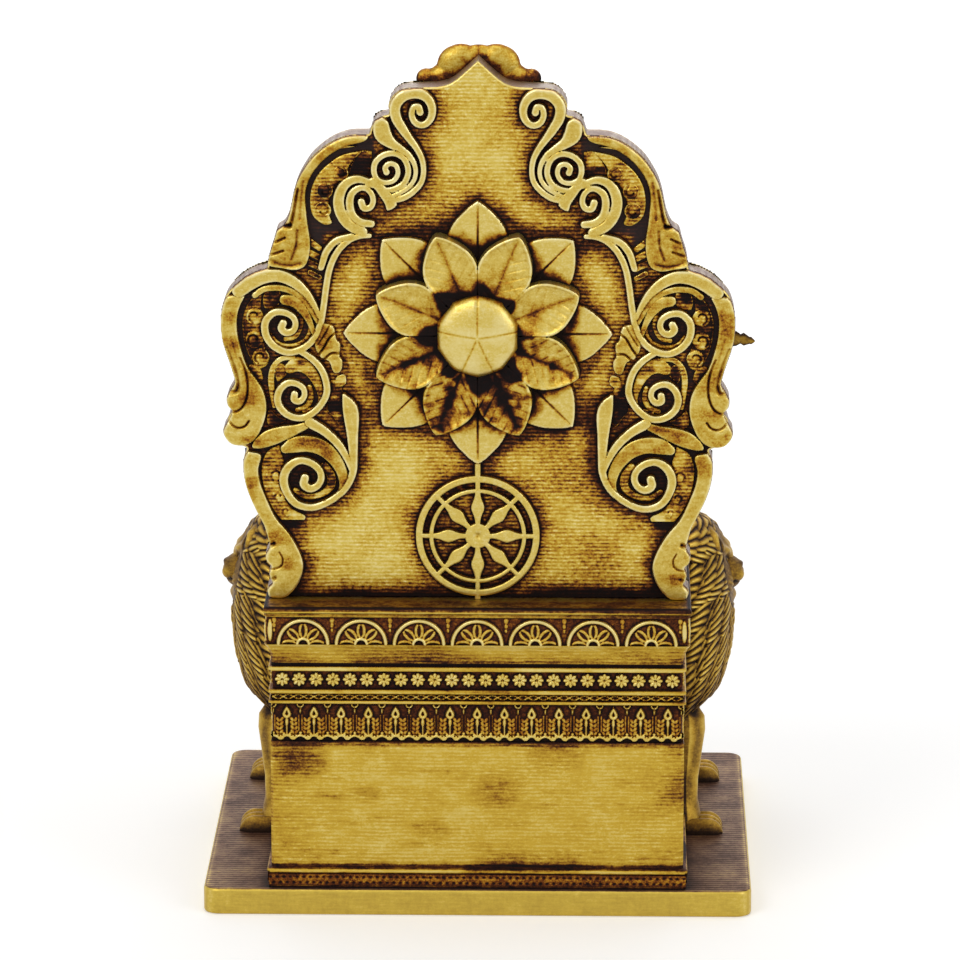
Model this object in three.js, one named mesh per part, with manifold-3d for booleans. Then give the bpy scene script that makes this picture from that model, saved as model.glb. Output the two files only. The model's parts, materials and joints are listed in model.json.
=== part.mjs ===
// Throne for a small deity figure, cast in brass and darkened in its hollows.
// Millimetres, +Z up. The origin lies under the middle of the base plate, the seat
// faces +Y and the tall carved backrest shows its back to -Y.

import * as THREE from 'three';
import { mergeVertices } from 'three/addons/utils/BufferGeometryUtils.js';
import Module from 'manifold-3d';

const wasm = await Module();
wasm.setup();

// Base plate
const baseWidth = 102;
const baseDepth = 91;
const baseThickness = 5;
const baseCornerRadius = 3;
const baseEdgeRounding = 0.7;

// Seat box, one hollow casting that is open below
const boxWidth = 76.5;
const boxDepth = 77;
const boxBackMargin = 1.5;
const boxWall = 4;
const boxTopWall = 4;
const boxCornerCut = 0.5;
const bossWidth = 9;

// Courses of the seat box, from the base plate up
const plinthHeight = 3;
const plinthBeadHeight = 1;
const panelHeight = 24.2;
const friezeHeight = 7.3;
const friezeBeadHeight = 0.6;
const chainHeight = 1.3;
const chainBeadHeight = 0.8;
const rosetteHeight = 4.3;
const rosetteBeadHeight = 0.5;
const coveHeight = 4;
const arcadeHeight = 5.3;
const arcadeFilletHeight = 0.45;

// How far the courses stand out from the plain panel, or lie behind it
const plinthProjection = 0.5;
const beadProjection = 0.3;
const stripRecess = 0.9;
const chainRecess = 0.4;
const coveRecess = 0.3;
const arcadeProjection = 0.95;
const stripGround = 0.4;

// Seat slab, whose edge is the rail above the arcade
const slabProjection = 1.15;
const slabThickness = 1.35;
const slabEdgeCut = 0.35;

// Ornaments on the strips
const palmetteCount = 15;
const palmettePitch = 5.03;
const palmetteWidth = 3.3;
const rosetteCount = 24;
const rosettePitch = 3.13;
const rosetteRadius = 1.3;
const rosetteSides = 8;
const archCount = 7;
const archPitch = 10.68;
const archRadius = 4.85;
const archBand = 0.8;
const archFlowerRadius = 2.5;

// Backrest
const backrestHalfWidth = 47;
const backrestHeight = 100.6;
const backrestThickness = 6.5;
const ledgeDepth = 5.9;
const scrollHeight = 1.6;
const leafHeight = 1.3;
const lowLeafHeight = 0.8;
const scrollCrownShare = 0.66;
const lugWidth = 12;
const lugSpacing = 44;
const lugReach = 3;

// The size that the carvings follow: the half width, or a share of the height if that is less
const ornamentHeightShare = 0.467;
const ornamentSize = Math.min(backrestHalfWidth, ornamentHeightShare * backrestHeight);
const scrollBand = 0.034 * ornamentSize;

// Lotus and wheel on the back
const lotusHeightShare = 0.5;
const lotusOuterRadius = 0.523 * ornamentSize;
const lotusInnerRadius = 0.421 * ornamentSize;
const lotusOuterPetalWidth = 0.247 * ornamentSize;
const lotusInnerPetalWidth = 0.243 * ornamentSize;
const lotusOuterThickness = 1.1;
const lotusInnerThickness = 2.6;
const lotusHubRadius = 0.191 * ornamentSize;
const lotusHubThickness = 1;
const budRadius = 0.157 * ornamentSize;
const budHeight = 3;
const budFacets = 7;
const petalCount = 8;
const wheelRadius = 0.242 * ornamentSize;
const wheelBand = 0.0245 * ornamentSize;
const wheelThickness = 1.3;
const wheelHubRadius = 0.055 * ornamentSize;
const wheelSpokeWidth = 0.055 * ornamentSize;
const wheelSpokes = 8;
const wheelRiseShare = 0.1203;
const stemWidth = 0.019 * ornamentSize;

// Leaf finial on the front of the backrest
const crestHalfWidth = 12;
const crestHeight = 22;
const crestRise = 1.7;
const crestThickness = 3.6;
const crestHeartThickness = 1.6;
const tipLength = 7;
const tipWidth = 3;
const tipThickness = 2.2;
const tipRiseShare = 0.475;
const tipOverlap = 3.1;

// Lions at the two sides
const lionForward = 16.3;
const lionTop = 63.2;
const lionChest = 27;
const lionReach = 12;
const lionHalfWidth = 16.8;
const lionHeadRadius = 6.6;
const lionHeadDrop = 8.6;
const lionHeadOut = 6;
const muzzleRadius = 3.9;
const muzzleDrop = 10.4;
const muzzleOut = 9.1;
const earRadius = 1.7;
const lionInset = 1.4;
const lockDepthShare = 0.07;
const legSpread = 17.3;
const legShoulderSpread = 12.7;
const legHalfWidth = 3.9;
const legReach = 3.7;
const pawReach = 8;
const pawHeight = 2.9;

// Screws and bolts
const screwRadius = 1.5;
const screwHeadRadius = 2.8;
const screwHeadHeight = 1.6;
const screwSink = 0.5;
const screwGrip = 9;
const boltRadius = 2;
const boltHeadRadius = 3.6;
const boltHeadHeight = 2.4;
const boltGrip = 3.6;
const boltHeight = 30.4;

// Clearances
const jointGap = 0.3;
const seatGap = 0.15;
const overrun = 1;

// Heights and depths that follow from the courses
const plinthTop = baseThickness + plinthHeight;
const panelBottom = plinthTop + plinthBeadHeight;
const panelTop = panelBottom + panelHeight;
const friezeTop = panelTop + friezeHeight;
const chainBottom = friezeTop + friezeBeadHeight;
const chainTop = chainBottom + chainHeight;
const rosetteBottom = chainTop + chainBeadHeight;
const rosetteTop = rosetteBottom + rosetteHeight;
const coveBottom = rosetteTop + rosetteBeadHeight;
const arcadeBottom = coveBottom + coveHeight;
const arcadeTop = arcadeBottom + arcadeHeight;
const boxTop = arcadeTop + arcadeFilletHeight;
const seatTop = boxTop + slabThickness;
const boxHalfX = boxWidth / 2;
const boxHalfY = boxDepth / 2;
const boxCentreY = boxBackMargin + boxHalfY - baseDepth / 2;
const lionCentreY = boxCentreY + lionForward;
const backReliefY = boxCentreY - boxHalfY - slabProjection + ledgeDepth;
const backFaceY = backReliefY + scrollHeight;
const frontFaceY = backFaceY + backrestThickness;
const lotusCentreZ = seatTop + lotusHeightShare * backrestHeight;
const tipStart = backrestHalfWidth - tipOverlap;
const crestTop = seatTop + backrestHeight + crestRise;
const wheelCentreZ = seatTop + wheelRiseShare * backrestHeight;
const cavityHalfX = boxHalfX - boxWall;
const cavityHalfY = boxHalfY - boxWall;
const screwOffsetX = cavityHalfX - bossWidth / 2;
const screwOffsetY = cavityHalfY - bossWidth / 2;
const lionOriginX = boxHalfX - lionInset;

const brass = { colour: 0xc9a53c, roughness: 0.38 };
const shadedBrass = { colour: 0x8a5a22, roughness: 0.5 };
const agedBrass = { colour: 0x9a8136, roughness: 0.45 };
const steel = { colour: 0x8d8f92, roughness: 0.4 };

// Solid making

// Turns every triangle outward, whichever way round the rings of a solid were drawn.
function facingOut(geometry) {
  const place = geometry.attributes.position;
  const corner = [new THREE.Vector3(), new THREE.Vector3(), new THREE.Vector3()];
  const order = Array.from(geometry.index.array);
  let volume = 0;
  for (let i = 0; i < order.length; i += 3) {
    corner.forEach((point, j) => point.fromBufferAttribute(place, order[i + j]));
    volume += corner[0].dot(corner[1].cross(corner[2]));
  }
  if (volume < 0) {
    order.reverse();
    geometry.setIndex(order);
  }
  return geometry;
}

// A closed skin over rings of equally many points, with a flat fan at both ends.
function loft(rings) {
  const size = rings[0].length;
  const index = [];
  for (let ring = 0; ring + 1 < rings.length; ring += 1) {
    for (let j = 0; j < size; j += 1) {
      const here = ring * size + j;
      const next = ring * size + ((j + 1) % size);
      index.push(here, next, next + size, here, next + size, here + size);
    }
  }
  const last = (rings.length - 1) * size;
  for (let j = 1; j + 1 < size; j += 1) {
    index.push(0, j + 1, j, last, last + j, last + j + 1);
  }
  const geometry = new THREE.BufferGeometry();
  const positions = rings.flat().flatMap((point) => point.toArray());
  geometry.setAttribute('position', new THREE.Float32BufferAttribute(positions, 3));
  geometry.setIndex(index);
  return facingOut(geometry);
}

function toSolid(geometry) {
  const bare = geometry.clone();
  bare.deleteAttribute('normal');
  bare.deleteAttribute('uv');
  const welded = mergeVertices(bare);
  const corners = welded.index.array;
  const kept = [];
  for (let i = 0; i < corners.length; i += 3) {
    const [a, b, c] = corners.slice(i, i + 3);
    if (a !== b && b !== c && c !== a) kept.push(a, b, c);
  }
  const vertProperties = Float32Array.from(welded.attributes.position.array);
  const triVerts = Uint32Array.from(kept);
  return new wasm.Manifold(new wasm.Mesh({ numProp: 3, vertProperties, triVerts }));
}

function toGeometry(solid) {
  const mesh = solid.getMesh();
  const geometry = new THREE.BufferGeometry();
  geometry.setAttribute('position', new THREE.BufferAttribute(mesh.vertProperties, 3));
  geometry.setIndex(new THREE.BufferAttribute(mesh.triVerts, 1));
  return geometry;
}

function joined(geometries) {
  const solids = geometries.map(toSolid);
  return toGeometry(solids.reduce((whole, piece) => whole.add(piece)));
}

function cut(geometry, cutters) {
  const solids = cutters.map(toSolid);
  return toGeometry(solids.reduce((whole, cutter) => whole.subtract(cutter), toSolid(geometry)));
}

function box(width, depth, height, x, y, z) {
  const geometry = new THREE.BoxGeometry(width, depth, height);
  return geometry.translate(x, y, z + height / 2);
}

// A flat outline drawn across (x) and up (z), thickened away from y = 0 toward -y.
function raised(shape, thickness, curveSegments = 6) {
  const settings = { depth: thickness, bevelEnabled: false, curveSegments };
  const geometry = new THREE.ExtrudeGeometry(shape, settings);
  return geometry.rotateX(Math.PI / 2);
}

// A turned profile of [radius, height] pairs about the z axis.
function turned(profile, segments) {
  const points = profile.map(([radius, height]) => new THREE.Vector2(radius, height));
  return new THREE.LatheGeometry(points, segments).rotateX(Math.PI / 2);
}

// Stacks square rings with cut corners: each course is [offset from the box face, height].
function courses(profile) {
  const rings = profile.map(([offset, z]) => {
    const x = boxHalfX + offset;
    const y = boxHalfY + offset;
    const quarter = [[x - boxCornerCut, y], [x, y - boxCornerCut]];
    const turn = [[1, 1], [1, -1], [-1, -1], [-1, 1]];
    return turn.flatMap(([signX, signY]) => {
      const corner = quarter.map(([a, b]) => new THREE.Vector3(signX * a, boxCentreY + signY * b, z));
      return signX * signY > 0 ? corner : corner.reverse();
    });
  });
  return loft(rings);
}

const group = new THREE.Group();

function addPart(name, geometry, finish) {
  const material = new THREE.MeshStandardMaterial({
    color: finish.colour,
    roughness: finish.roughness,
    metalness: 1,
  });
  const mesh = new THREE.Mesh(geometry, material);
  mesh.name = name;
  group.add(mesh);
}

// Places of the four screws that hold the seat box to the base plate
const screwPlaces = [[-1, -1], [1, -1], [-1, 1], [1, 1]].map(([signX, signY]) => [
  signX * screwOffsetX,
  boxCentreY + signY * screwOffsetY,
]);

function screwGeometry() {
  const neck = screwSink + screwHeadHeight;
  const tip = baseThickness + screwGrip;
  const profile = [
    [0, screwSink],
    [screwHeadRadius, screwSink],
    [screwRadius, neck],
    [screwRadius, tip],
    [0, tip],
  ];
  return turned(profile, 10);
}

function screwClearance() {
  const profile = [
    [0, -overrun],
    [screwHeadRadius + jointGap, -overrun],
    [screwHeadRadius + jointGap, screwSink],
    [screwRadius + jointGap, screwSink + screwHeadHeight],
    [screwRadius + jointGap, baseThickness + screwGrip + jointGap],
    [0, baseThickness + screwGrip + jointGap],
  ];
  return turned(profile, 10);
}

function basePlate() {
  const x = baseWidth / 2 - baseCornerRadius;
  const y = baseDepth / 2 - baseCornerRadius;
  const layers = [
    [0, 0],
    [0, baseThickness - baseEdgeRounding],
    [-baseEdgeRounding * 0.3, baseThickness - baseEdgeRounding * 0.3],
    [-baseEdgeRounding, baseThickness],
  ];
  const cornerSteps = 5;
  const rings = layers.map(([offset, z]) => {
    const ring = [];
    [[1, 1], [-1, 1], [-1, -1], [1, -1]].forEach(([signX, signY], quarter) => {
      for (let step = 0; step <= cornerSteps; step += 1) {
        const angle = ((quarter + step / cornerSteps) * Math.PI) / 2;
        const radius = baseCornerRadius + offset;
        const acrossX = signX * x + radius * Math.cos(angle);
        ring.push(new THREE.Vector3(acrossX, signY * y + radius * Math.sin(angle), z));
      }
    });
    return ring;
  });
  const holes = screwPlaces.map(([placeX, placeY]) => screwClearance().translate(placeX, placeY, 0));
  return cut(loft(rings), holes);
}

// Slots in the seat for the two lugs under the backrest
function lugSlots(bottom, top) {
  const width = lugWidth + 2 * jointGap;
  const depth = backrestThickness + 2 * jointGap;
  const y = backFaceY + backrestThickness / 2;
  return [-1, 1].map((side) => box(width, depth, top - bottom, side * lugSpacing / 2, y, bottom));
}

function boltPlace(geometry, side) {
  return geometry.rotateY(side * Math.PI / 2).translate(0, lionCentreY, boltHeight);
}

function boltHole(radius, from, to) {
  return turned([[0, from], [radius, from], [radius, to], [0, to]], 10);
}

function seatBox() {
  const outside = courses([
    [plinthProjection, baseThickness],
    [plinthProjection, plinthTop],
    [plinthProjection + beadProjection, plinthTop + plinthBeadHeight * 0.25],
    [plinthProjection + beadProjection, plinthTop + plinthBeadHeight * 0.6],
    [0, panelBottom],
    [0, panelTop],
    [-stripRecess, panelTop],
    [-stripRecess, friezeTop],
    [beadProjection, friezeTop],
    [beadProjection, chainBottom],
    [-chainRecess, chainBottom],
    [-chainRecess, chainTop],
    [beadProjection, chainTop],
    [beadProjection, rosetteBottom],
    [-stripRecess, rosetteBottom],
    [-stripRecess, rosetteTop],
    [beadProjection, rosetteTop],
    [beadProjection, coveBottom],
    [-coveRecess, coveBottom],
    [coveRecess * 0.3, coveBottom + coveHeight * 0.45],
    [arcadeProjection * 0.45, coveBottom + coveHeight * 0.78],
    [arcadeProjection, arcadeBottom],
    [arcadeProjection - stripRecess, arcadeBottom],
    [arcadeProjection - stripRecess, arcadeTop],
    [arcadeProjection, arcadeTop],
    [arcadeProjection, boxTop],
  ]);
  const hollow = new THREE.Shape();
  const wide = cavityHalfX;
  const deep = cavityHalfY;
  const notchedX = cavityHalfX - bossWidth;
  const notchedY = cavityHalfY - bossWidth;
  hollow.moveTo(-notchedX, -deep);
  [[notchedX, -deep], [notchedX, -notchedY], [wide, -notchedY], [wide, notchedY],
    [notchedX, notchedY], [notchedX, deep], [-notchedX, deep], [-notchedX, notchedY],
    [-wide, notchedY], [-wide, -notchedY], [-notchedX, -notchedY],
  ].forEach(([x, y]) => hollow.lineTo(x, y));
  const hollowHeight = boxTop - boxTopWall - baseThickness;
  const cavity = new THREE.ExtrudeGeometry(hollow, {
    depth: hollowHeight + overrun,
    bevelEnabled: false,
  }).translate(0, boxCentreY, baseThickness - overrun);
  const screwHoles = screwPlaces.map(([x, y]) => screwClearance().translate(x, y, 0));
  const boltHoles = [-1, 1].map((side) => (
    boltPlace(boltHole(boltRadius + jointGap, cavityHalfX - overrun, boxHalfX + overrun), side)));
  const slots = lugSlots(boxTop - lugReach - jointGap, boxTop + overrun);
  return cut(outside, [cavity, ...screwHoles, ...boltHoles, ...slots]);
}

function seatSlab() {
  const slab = courses([
    [arcadeProjection, boxTop],
    [slabProjection, boxTop + slabEdgeCut],
    [slabProjection, seatTop - slabEdgeCut],
    [slabProjection - slabEdgeCut, seatTop],
  ]);
  return cut(slab, lugSlots(boxTop - overrun, seatTop + overrun));
}

addPart('base_plate', basePlate(), brass);
addPart('seat_box', seatBox(), brass);
addPart('seat_slab', seatSlab(), brass);
screwPlaces.forEach(([x, y], number) => {
  addPart(`base_screw_${number + 1}`, screwGeometry().translate(x, y, 0), steel);
});

// Ornament strips, each lying in the recess of its course on one side of the box

// A palmette: a lobed drop over a narrow foot.
function palmetteShape(height) {
  const halfShares = [[0.36, 0], [0.2, 0.22], [0.5, 0.5], [0.36, 0.78], [0, 0.98]];
  const right = halfShares.map(([across, up]) => [across * palmetteWidth, up * height]);
  const left = right.slice(0, -1).reverse().map(([x, z]) => [-x, z]);
  return new THREE.Shape([...right, ...left].map(([x, z]) => new THREE.Vector2(x, z)));
}

// A row of one ornament at an even pitch, as many as the strip has room for.
function row(make, count, pitch, length, halfWidth) {
  const fitting = Math.min(count, 1 + Math.floor((length - 2 * halfWidth) / pitch));
  const pieces = [];
  for (let i = 0; i < fitting; i += 1) {
    pieces.push(make().translate((i - (fitting - 1) / 2) * pitch, 0, 0));
  }
  return pieces;
}

// The ornaments start inside the ground of the strip, so that they grow out of it.
const rootDepth = stripGround / 2;
const ornamentHeight = stripRecess - rootDepth;

function friezeOrnaments(length) {
  const height = friezeHeight - 2 * beadProjection;
  const palmette = () => raised(palmetteShape(height), ornamentHeight).translate(0, -rootDepth, 0);
  const pieces = row(palmette, palmetteCount, palmettePitch, length, palmetteWidth / 2);
  return pieces.map((piece) => piece.translate(0, 0, panelTop + beadProjection));
}

// An eight-sided rosette.
function rosetteOrnaments(length) {
  const rosette = () => {
    const corners = [];
    for (let i = 0; i < rosetteSides; i += 1) {
      const angle = ((i + 0.5) * 2 * Math.PI) / rosetteSides;
      const radius = rosetteRadius;
      corners.push(new THREE.Vector2(radius * Math.cos(angle), radius * Math.sin(angle)));
    }
    return raised(new THREE.Shape(corners), ornamentHeight).translate(0, -rootDepth, 0);
  };
  const pieces = row(rosette, rosetteCount, rosettePitch, length, rosetteRadius);
  return pieces.map((piece) => piece.translate(0, 0, (rosetteBottom + rosetteTop) / 2));
}

// A round arch over a half flower.
function arcadeOrnaments(length) {
  const arch = () => {
    const inner = archRadius - archBand;
    const shape = new THREE.Shape();
    shape.absarc(0, 0, archRadius, 0, Math.PI);
    shape.absarc(0, 0, inner, Math.PI, 0, true);
    return raised(shape, ornamentHeight, 4).translate(0, -rootDepth, 0);
  };
  const flower = () => {
    const outline = [];
    for (let i = 0; i <= 6; i += 1) {
      const radius = archFlowerRadius * (i % 2 ? 1 : 0.7);
      const angle = (i * Math.PI) / 6;
      outline.push(new THREE.Vector2(radius * Math.cos(angle), radius * Math.sin(angle)));
    }
    return raised(new THREE.Shape(outline), ornamentHeight * 0.8).translate(0, -rootDepth, 0);
  };
  const arches = row(arch, archCount, archPitch, length, archRadius);
  const flowers = row(flower, archCount, archPitch, length, archRadius);
  return [...arches, ...flowers].map((piece) => piece.translate(0, 0, arcadeBottom));
}

// The strips of one course: long ones on the back and front, short ones between them
// on the sides, which are plain where the lions cover them.
function courseStrips(name, faceOffset, bottom, top, ornaments) {
  const groundX = boxHalfX + faceOffset - stripRecess;
  const groundY = boxHalfY + faceOffset - stripRecess;
  const height = top - bottom;
  const longLength = 2 * (groundX + stripGround);
  const shortLength = 2 * (groundY - seatGap);
  const flat = (length) => box(length, stripGround, height, 0, -stripGround / 2, bottom);
  const carved = joined([flat(longLength), ...ornaments(longLength - 2 * boxCornerCut)]);
  const place = (geometry, turn, x, y) => geometry.clone().rotateZ(turn).translate(x, y, 0);
  const backY = boxCentreY - groundY;
  const frontY = boxCentreY + groundY;
  addPart(`${name}_back`, place(carved, 0, 0, backY), brass);
  addPart(`${name}_front`, place(carved, Math.PI, 0, frontY), brass);
  addPart(`${name}_right`, place(flat(shortLength), Math.PI / 2, groundX, boxCentreY), brass);
  addPart(`${name}_left`, place(flat(shortLength), -Math.PI / 2, -groundX, boxCentreY), brass);
}

courseStrips('palmette_strip', 0, panelTop, friezeTop, friezeOrnaments);
courseStrips('rosette_strip', 0, rosetteBottom, rosetteTop, rosetteOrnaments);
courseStrips('arcade_strip', arcadeProjection, arcadeBottom, arcadeTop, arcadeOrnaments);

// Backrest

// Half of the outline, from the seat up to the point: shares of the half width and the height.
const outlineShares = [
  [0.800, 0.000], [0.823, 0.004], [0.828, 0.017], [0.809, 0.027], [0.821, 0.047], [0.813, 0.061],
  [0.830, 0.069], [0.834, 0.081], [0.819, 0.096], [0.826, 0.116], [0.840, 0.138], [0.866, 0.162],
  [0.894, 0.190], [0.913, 0.220], [0.919, 0.248], [0.904, 0.281], [0.928, 0.286], [0.962, 0.289],
  [0.987, 0.300], [0.996, 0.315], [0.981, 0.329], [0.962, 0.351], [0.977, 0.361], [0.981, 0.375],
  [0.968, 0.389], [0.949, 0.405], [0.957, 0.424], [0.972, 0.447], [0.987, 0.468], [0.998, 0.492],
  [1.000, 0.518], [0.998, 0.536], [0.989, 0.554], [0.974, 0.570], [0.945, 0.585], [0.904, 0.601],
  [0.862, 0.611], [0.821, 0.617], [0.809, 0.643], [0.791, 0.669], [0.779, 0.688], [0.753, 0.697],
  [0.734, 0.715], [0.723, 0.735], [0.713, 0.758], [0.698, 0.780], [0.674, 0.801], [0.643, 0.822],
  [0.606, 0.838], [0.562, 0.852], [0.515, 0.861], [0.472, 0.864], [0.423, 0.864], [0.411, 0.878],
  [0.396, 0.891], [0.368, 0.898], [0.343, 0.902], [0.345, 0.918], [0.328, 0.935], [0.294, 0.947],
  [0.243, 0.952], [0.209, 0.949], [0.179, 0.949], [0.149, 0.951], [0.111, 0.957], [0.081, 0.966],
  [0.051, 0.978], [0.021, 0.991],
];

function backrestPlate() {
  const half = outlineShares.map(([across, up]) => [
    across * backrestHalfWidth,
    seatTop + up * backrestHeight,
  ]);
  const point = [0, seatTop + backrestHeight];
  const left = half.slice().reverse().map(([x, z]) => [-x, z]);
  const outline = [...half, point, ...left].map(([x, z]) => new THREE.Vector2(x, z));
  const plate = raised(new THREE.Shape(outline), backrestThickness);
  const lugHeight = slabThickness + lugReach;
  const lugs = [-1, 1].map((side) => box(
    lugWidth,
    backrestThickness,
    lugHeight + overrun,
    side * lugSpacing / 2,
    -backrestThickness / 2,
    seatTop - lugHeight,
  ));
  return joined([plate, ...lugs]).translate(0, frontFaceY, 0);
}

// Carved scrolls: [share across, share up, band width in scroll bands] along the middle of each
const voluteShares = [
  [0.326, 0.747, 0.62], [0.287, 0.751, 0.62], [0.247, 0.763, 0.60], [0.219, 0.779, 0.56],
  [0.209, 0.798, 0.52], [0.215, 0.822, 0.56], [0.236, 0.842, 0.62], [0.262, 0.859, 0.75],
  [0.289, 0.877, 0.94], [0.315, 0.899, 1.06], [0.317, 0.919, 1.06], [0.289, 0.936, 1.06],
  [0.243, 0.942, 1.00], [0.200, 0.934, 0.94], [0.179, 0.915, 0.81], [0.189, 0.898, 0.69],
  [0.219, 0.891, 0.62], [0.245, 0.899, 0.62], [0.238, 0.911, 0.75],
];
const knobShares = [
  [0.345, 0.751, 0.44], [0.294, 0.762, 0.44], [0.264, 0.772, 0.44], [0.245, 0.785, 0.44],
  [0.239, 0.800, 0.44], [0.247, 0.816, 0.50], [0.268, 0.830, 0.62], [0.298, 0.841, 0.75],
  [0.336, 0.852, 1.12], [0.366, 0.868, 1.75], [0.372, 0.882, 1.62],
];
const curlShares = [
  [0.362, 0.766, 0.62], [0.323, 0.769, 0.62], [0.287, 0.780, 0.62], [0.272, 0.798, 0.62],
  [0.289, 0.818, 0.62], [0.336, 0.826, 0.62], [0.377, 0.820, 0.62], [0.389, 0.804, 0.62],
  [0.379, 0.790, 0.56], [0.355, 0.784, 0.52], [0.330, 0.789, 0.50], [0.326, 0.800, 0.50],
  [0.345, 0.805, 0.62],
];
const outerHookShares = [
  [0.427, 0.694, 0.82], [0.461, 0.697, 1.05], [0.496, 0.705, 1.14], [0.525, 0.723, 1.14],
  [0.538, 0.744, 1.14], [0.526, 0.763, 1.05], [0.493, 0.773, 0.86], [0.457, 0.774, 0.80],
  [0.422, 0.768, 0.68], [0.406, 0.752, 0.59], [0.415, 0.740, 0.55], [0.438, 0.734, 0.55],
  [0.456, 0.741, 0.55], [0.451, 0.749, 0.68],
];
const innerHookShares = [
  [0.411, 0.702, 0.64], [0.453, 0.707, 0.68], [0.485, 0.722, 0.68], [0.498, 0.740, 0.68],
  [0.488, 0.755, 0.61], [0.461, 0.761, 0.55], [0.432, 0.756, 0.50], [0.412, 0.748, 0.50],
];
const longStemShares = [
  [0.419, 0.681, 0.45], [0.457, 0.680, 0.55], [0.496, 0.673, 0.61], [0.541, 0.653, 0.64],
  [0.572, 0.623, 0.64], [0.587, 0.589, 0.64], [0.599, 0.548, 0.64], [0.611, 0.518, 0.64],
  [0.634, 0.492, 0.66], [0.678, 0.472, 0.68], [0.738, 0.464, 0.70], [0.794, 0.476, 0.73],
  [0.824, 0.497, 0.75], [0.824, 0.522, 0.75], [0.789, 0.538, 0.70], [0.749, 0.538, 0.66],
  [0.719, 0.528, 0.61], [0.711, 0.515, 0.59], [0.730, 0.506, 0.64], [0.751, 0.510, 0.73],
];
const budStemShares = [
  [0.488, 0.680, 0.59], [0.548, 0.671, 0.68], [0.585, 0.652, 0.70], [0.607, 0.622, 0.60],
];
const archLeafShares = [
  [0.926, 0.579, 1.50], [0.881, 0.593, 1.45], [0.827, 0.604, 1.36], [0.772, 0.606, 1.25],
  [0.722, 0.597, 1.14], [0.680, 0.581, 0.95], [0.647, 0.561, 0.73], [0.613, 0.529, 0.45],
];
const innerArchShares = [
  [0.866, 0.569, 0.57], [0.833, 0.580, 0.59], [0.795, 0.583, 0.59], [0.757, 0.582, 0.59],
  [0.719, 0.576, 0.59], [0.684, 0.565, 0.57], [0.657, 0.549, 0.52], [0.620, 0.519, 0.41],
];
const fatLeafShares = [
  [0.750, 0.561, 1.02], [0.715, 0.558, 1.14], [0.682, 0.544, 0.95], [0.657, 0.524, 0.64],
  [0.636, 0.497, 0.41],
];
const lowerMidShares = [
  [0.697, 0.468, 0.57], [0.662, 0.458, 0.64], [0.631, 0.446, 0.68], [0.606, 0.430, 0.68],
  [0.591, 0.410, 0.68], [0.588, 0.390, 0.68], [0.605, 0.371, 0.68], [0.638, 0.353, 0.68],
  [0.681, 0.342, 0.68], [0.726, 0.344, 0.70], [0.765, 0.357, 0.73], [0.781, 0.377, 0.73],
  [0.768, 0.396, 0.70], [0.737, 0.407, 0.68], [0.702, 0.405, 0.61], [0.679, 0.395, 0.57],
  [0.678, 0.384, 0.55], [0.695, 0.377, 0.59], [0.710, 0.381, 0.68],
];
const bladeShares = [
  [0.521, 0.384, 0.34], [0.497, 0.358, 1.55], [0.489, 0.309, 1.14], [0.486, 0.272, 0.86],
  [0.488, 0.240, 0.73], [0.519, 0.209, 0.70], [0.580, 0.185, 0.68], [0.651, 0.173, 0.73],
  [0.713, 0.181, 0.75], [0.750, 0.205, 0.82], [0.759, 0.229, 0.89], [0.740, 0.249, 0.86],
  [0.700, 0.260, 0.75], [0.655, 0.257, 0.73], [0.620, 0.244, 0.68], [0.615, 0.230, 0.68],
  [0.632, 0.217, 0.66], [0.662, 0.218, 0.82],
];
const secondBladeShares = [
  [0.655, 0.333, 1.10], [0.596, 0.316, 0.91], [0.542, 0.291, 0.82], [0.511, 0.266, 0.64],
  [0.493, 0.243, 0.41],
];
const innerBandShares = [
  [0.762, 0.299, 0.80], [0.707, 0.305, 0.82], [0.637, 0.298, 0.82], [0.579, 0.278, 0.77],
  [0.552, 0.251, 0.73], [0.554, 0.222, 0.66], [0.599, 0.197, 0.59], [0.666, 0.188, 0.52],
  [0.709, 0.188, 0.45],
];
const leafArchShares = [
  [0.850, 0.295, 1.25], [0.815, 0.310, 1.30], [0.766, 0.322, 1.27], [0.715, 0.325, 1.18],
  [0.664, 0.331, 0.91],
];

// Carved leaves and clasps: outlines as shares of the half width and the height
const claspShares = [
  [0.438, 0.769], [0.430, 0.781], [0.398, 0.788], [0.366, 0.775], [0.340, 0.762], [0.313, 0.738], [0.349, 0.728],
  [0.357, 0.739], [0.379, 0.755], [0.402, 0.769],
];
const tuftShares = [
  [0.605, 0.518], [0.563, 0.512], [0.551, 0.488], [0.536, 0.480], [0.539, 0.456], [0.528, 0.448],
  [0.536, 0.428], [0.559, 0.426], [0.578, 0.447], [0.609, 0.454], [0.632, 0.475], [0.625, 0.493],
];
const shoulderShares = [
  [0.423, 0.862], [0.472, 0.862], [0.515, 0.859], [0.560, 0.850], [0.604, 0.836], [0.640, 0.820],
  [0.670, 0.801], [0.694, 0.780], [0.709, 0.758], [0.719, 0.735], [0.730, 0.714], [0.751, 0.696],
  [0.777, 0.687], [0.787, 0.671], [0.804, 0.649], [0.815, 0.627], [0.762, 0.620], [0.706, 0.617],
  [0.672, 0.624], [0.655, 0.643], [0.651, 0.671], [0.660, 0.701], [0.666, 0.728], [0.668, 0.760],
  [0.643, 0.792], [0.585, 0.824], [0.515, 0.844], [0.436, 0.855],
];
const crescentShares = [
  [0.449, 0.835], [0.487, 0.832], [0.530, 0.826], [0.574, 0.812], [0.613, 0.794], [0.638, 0.772],
  [0.647, 0.752], [0.647, 0.733], [0.638, 0.717], [0.619, 0.707], [0.591, 0.700], [0.566, 0.703],
  [0.576, 0.717], [0.579, 0.739], [0.566, 0.760], [0.545, 0.777], [0.515, 0.789], [0.498, 0.809],
];
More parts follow.
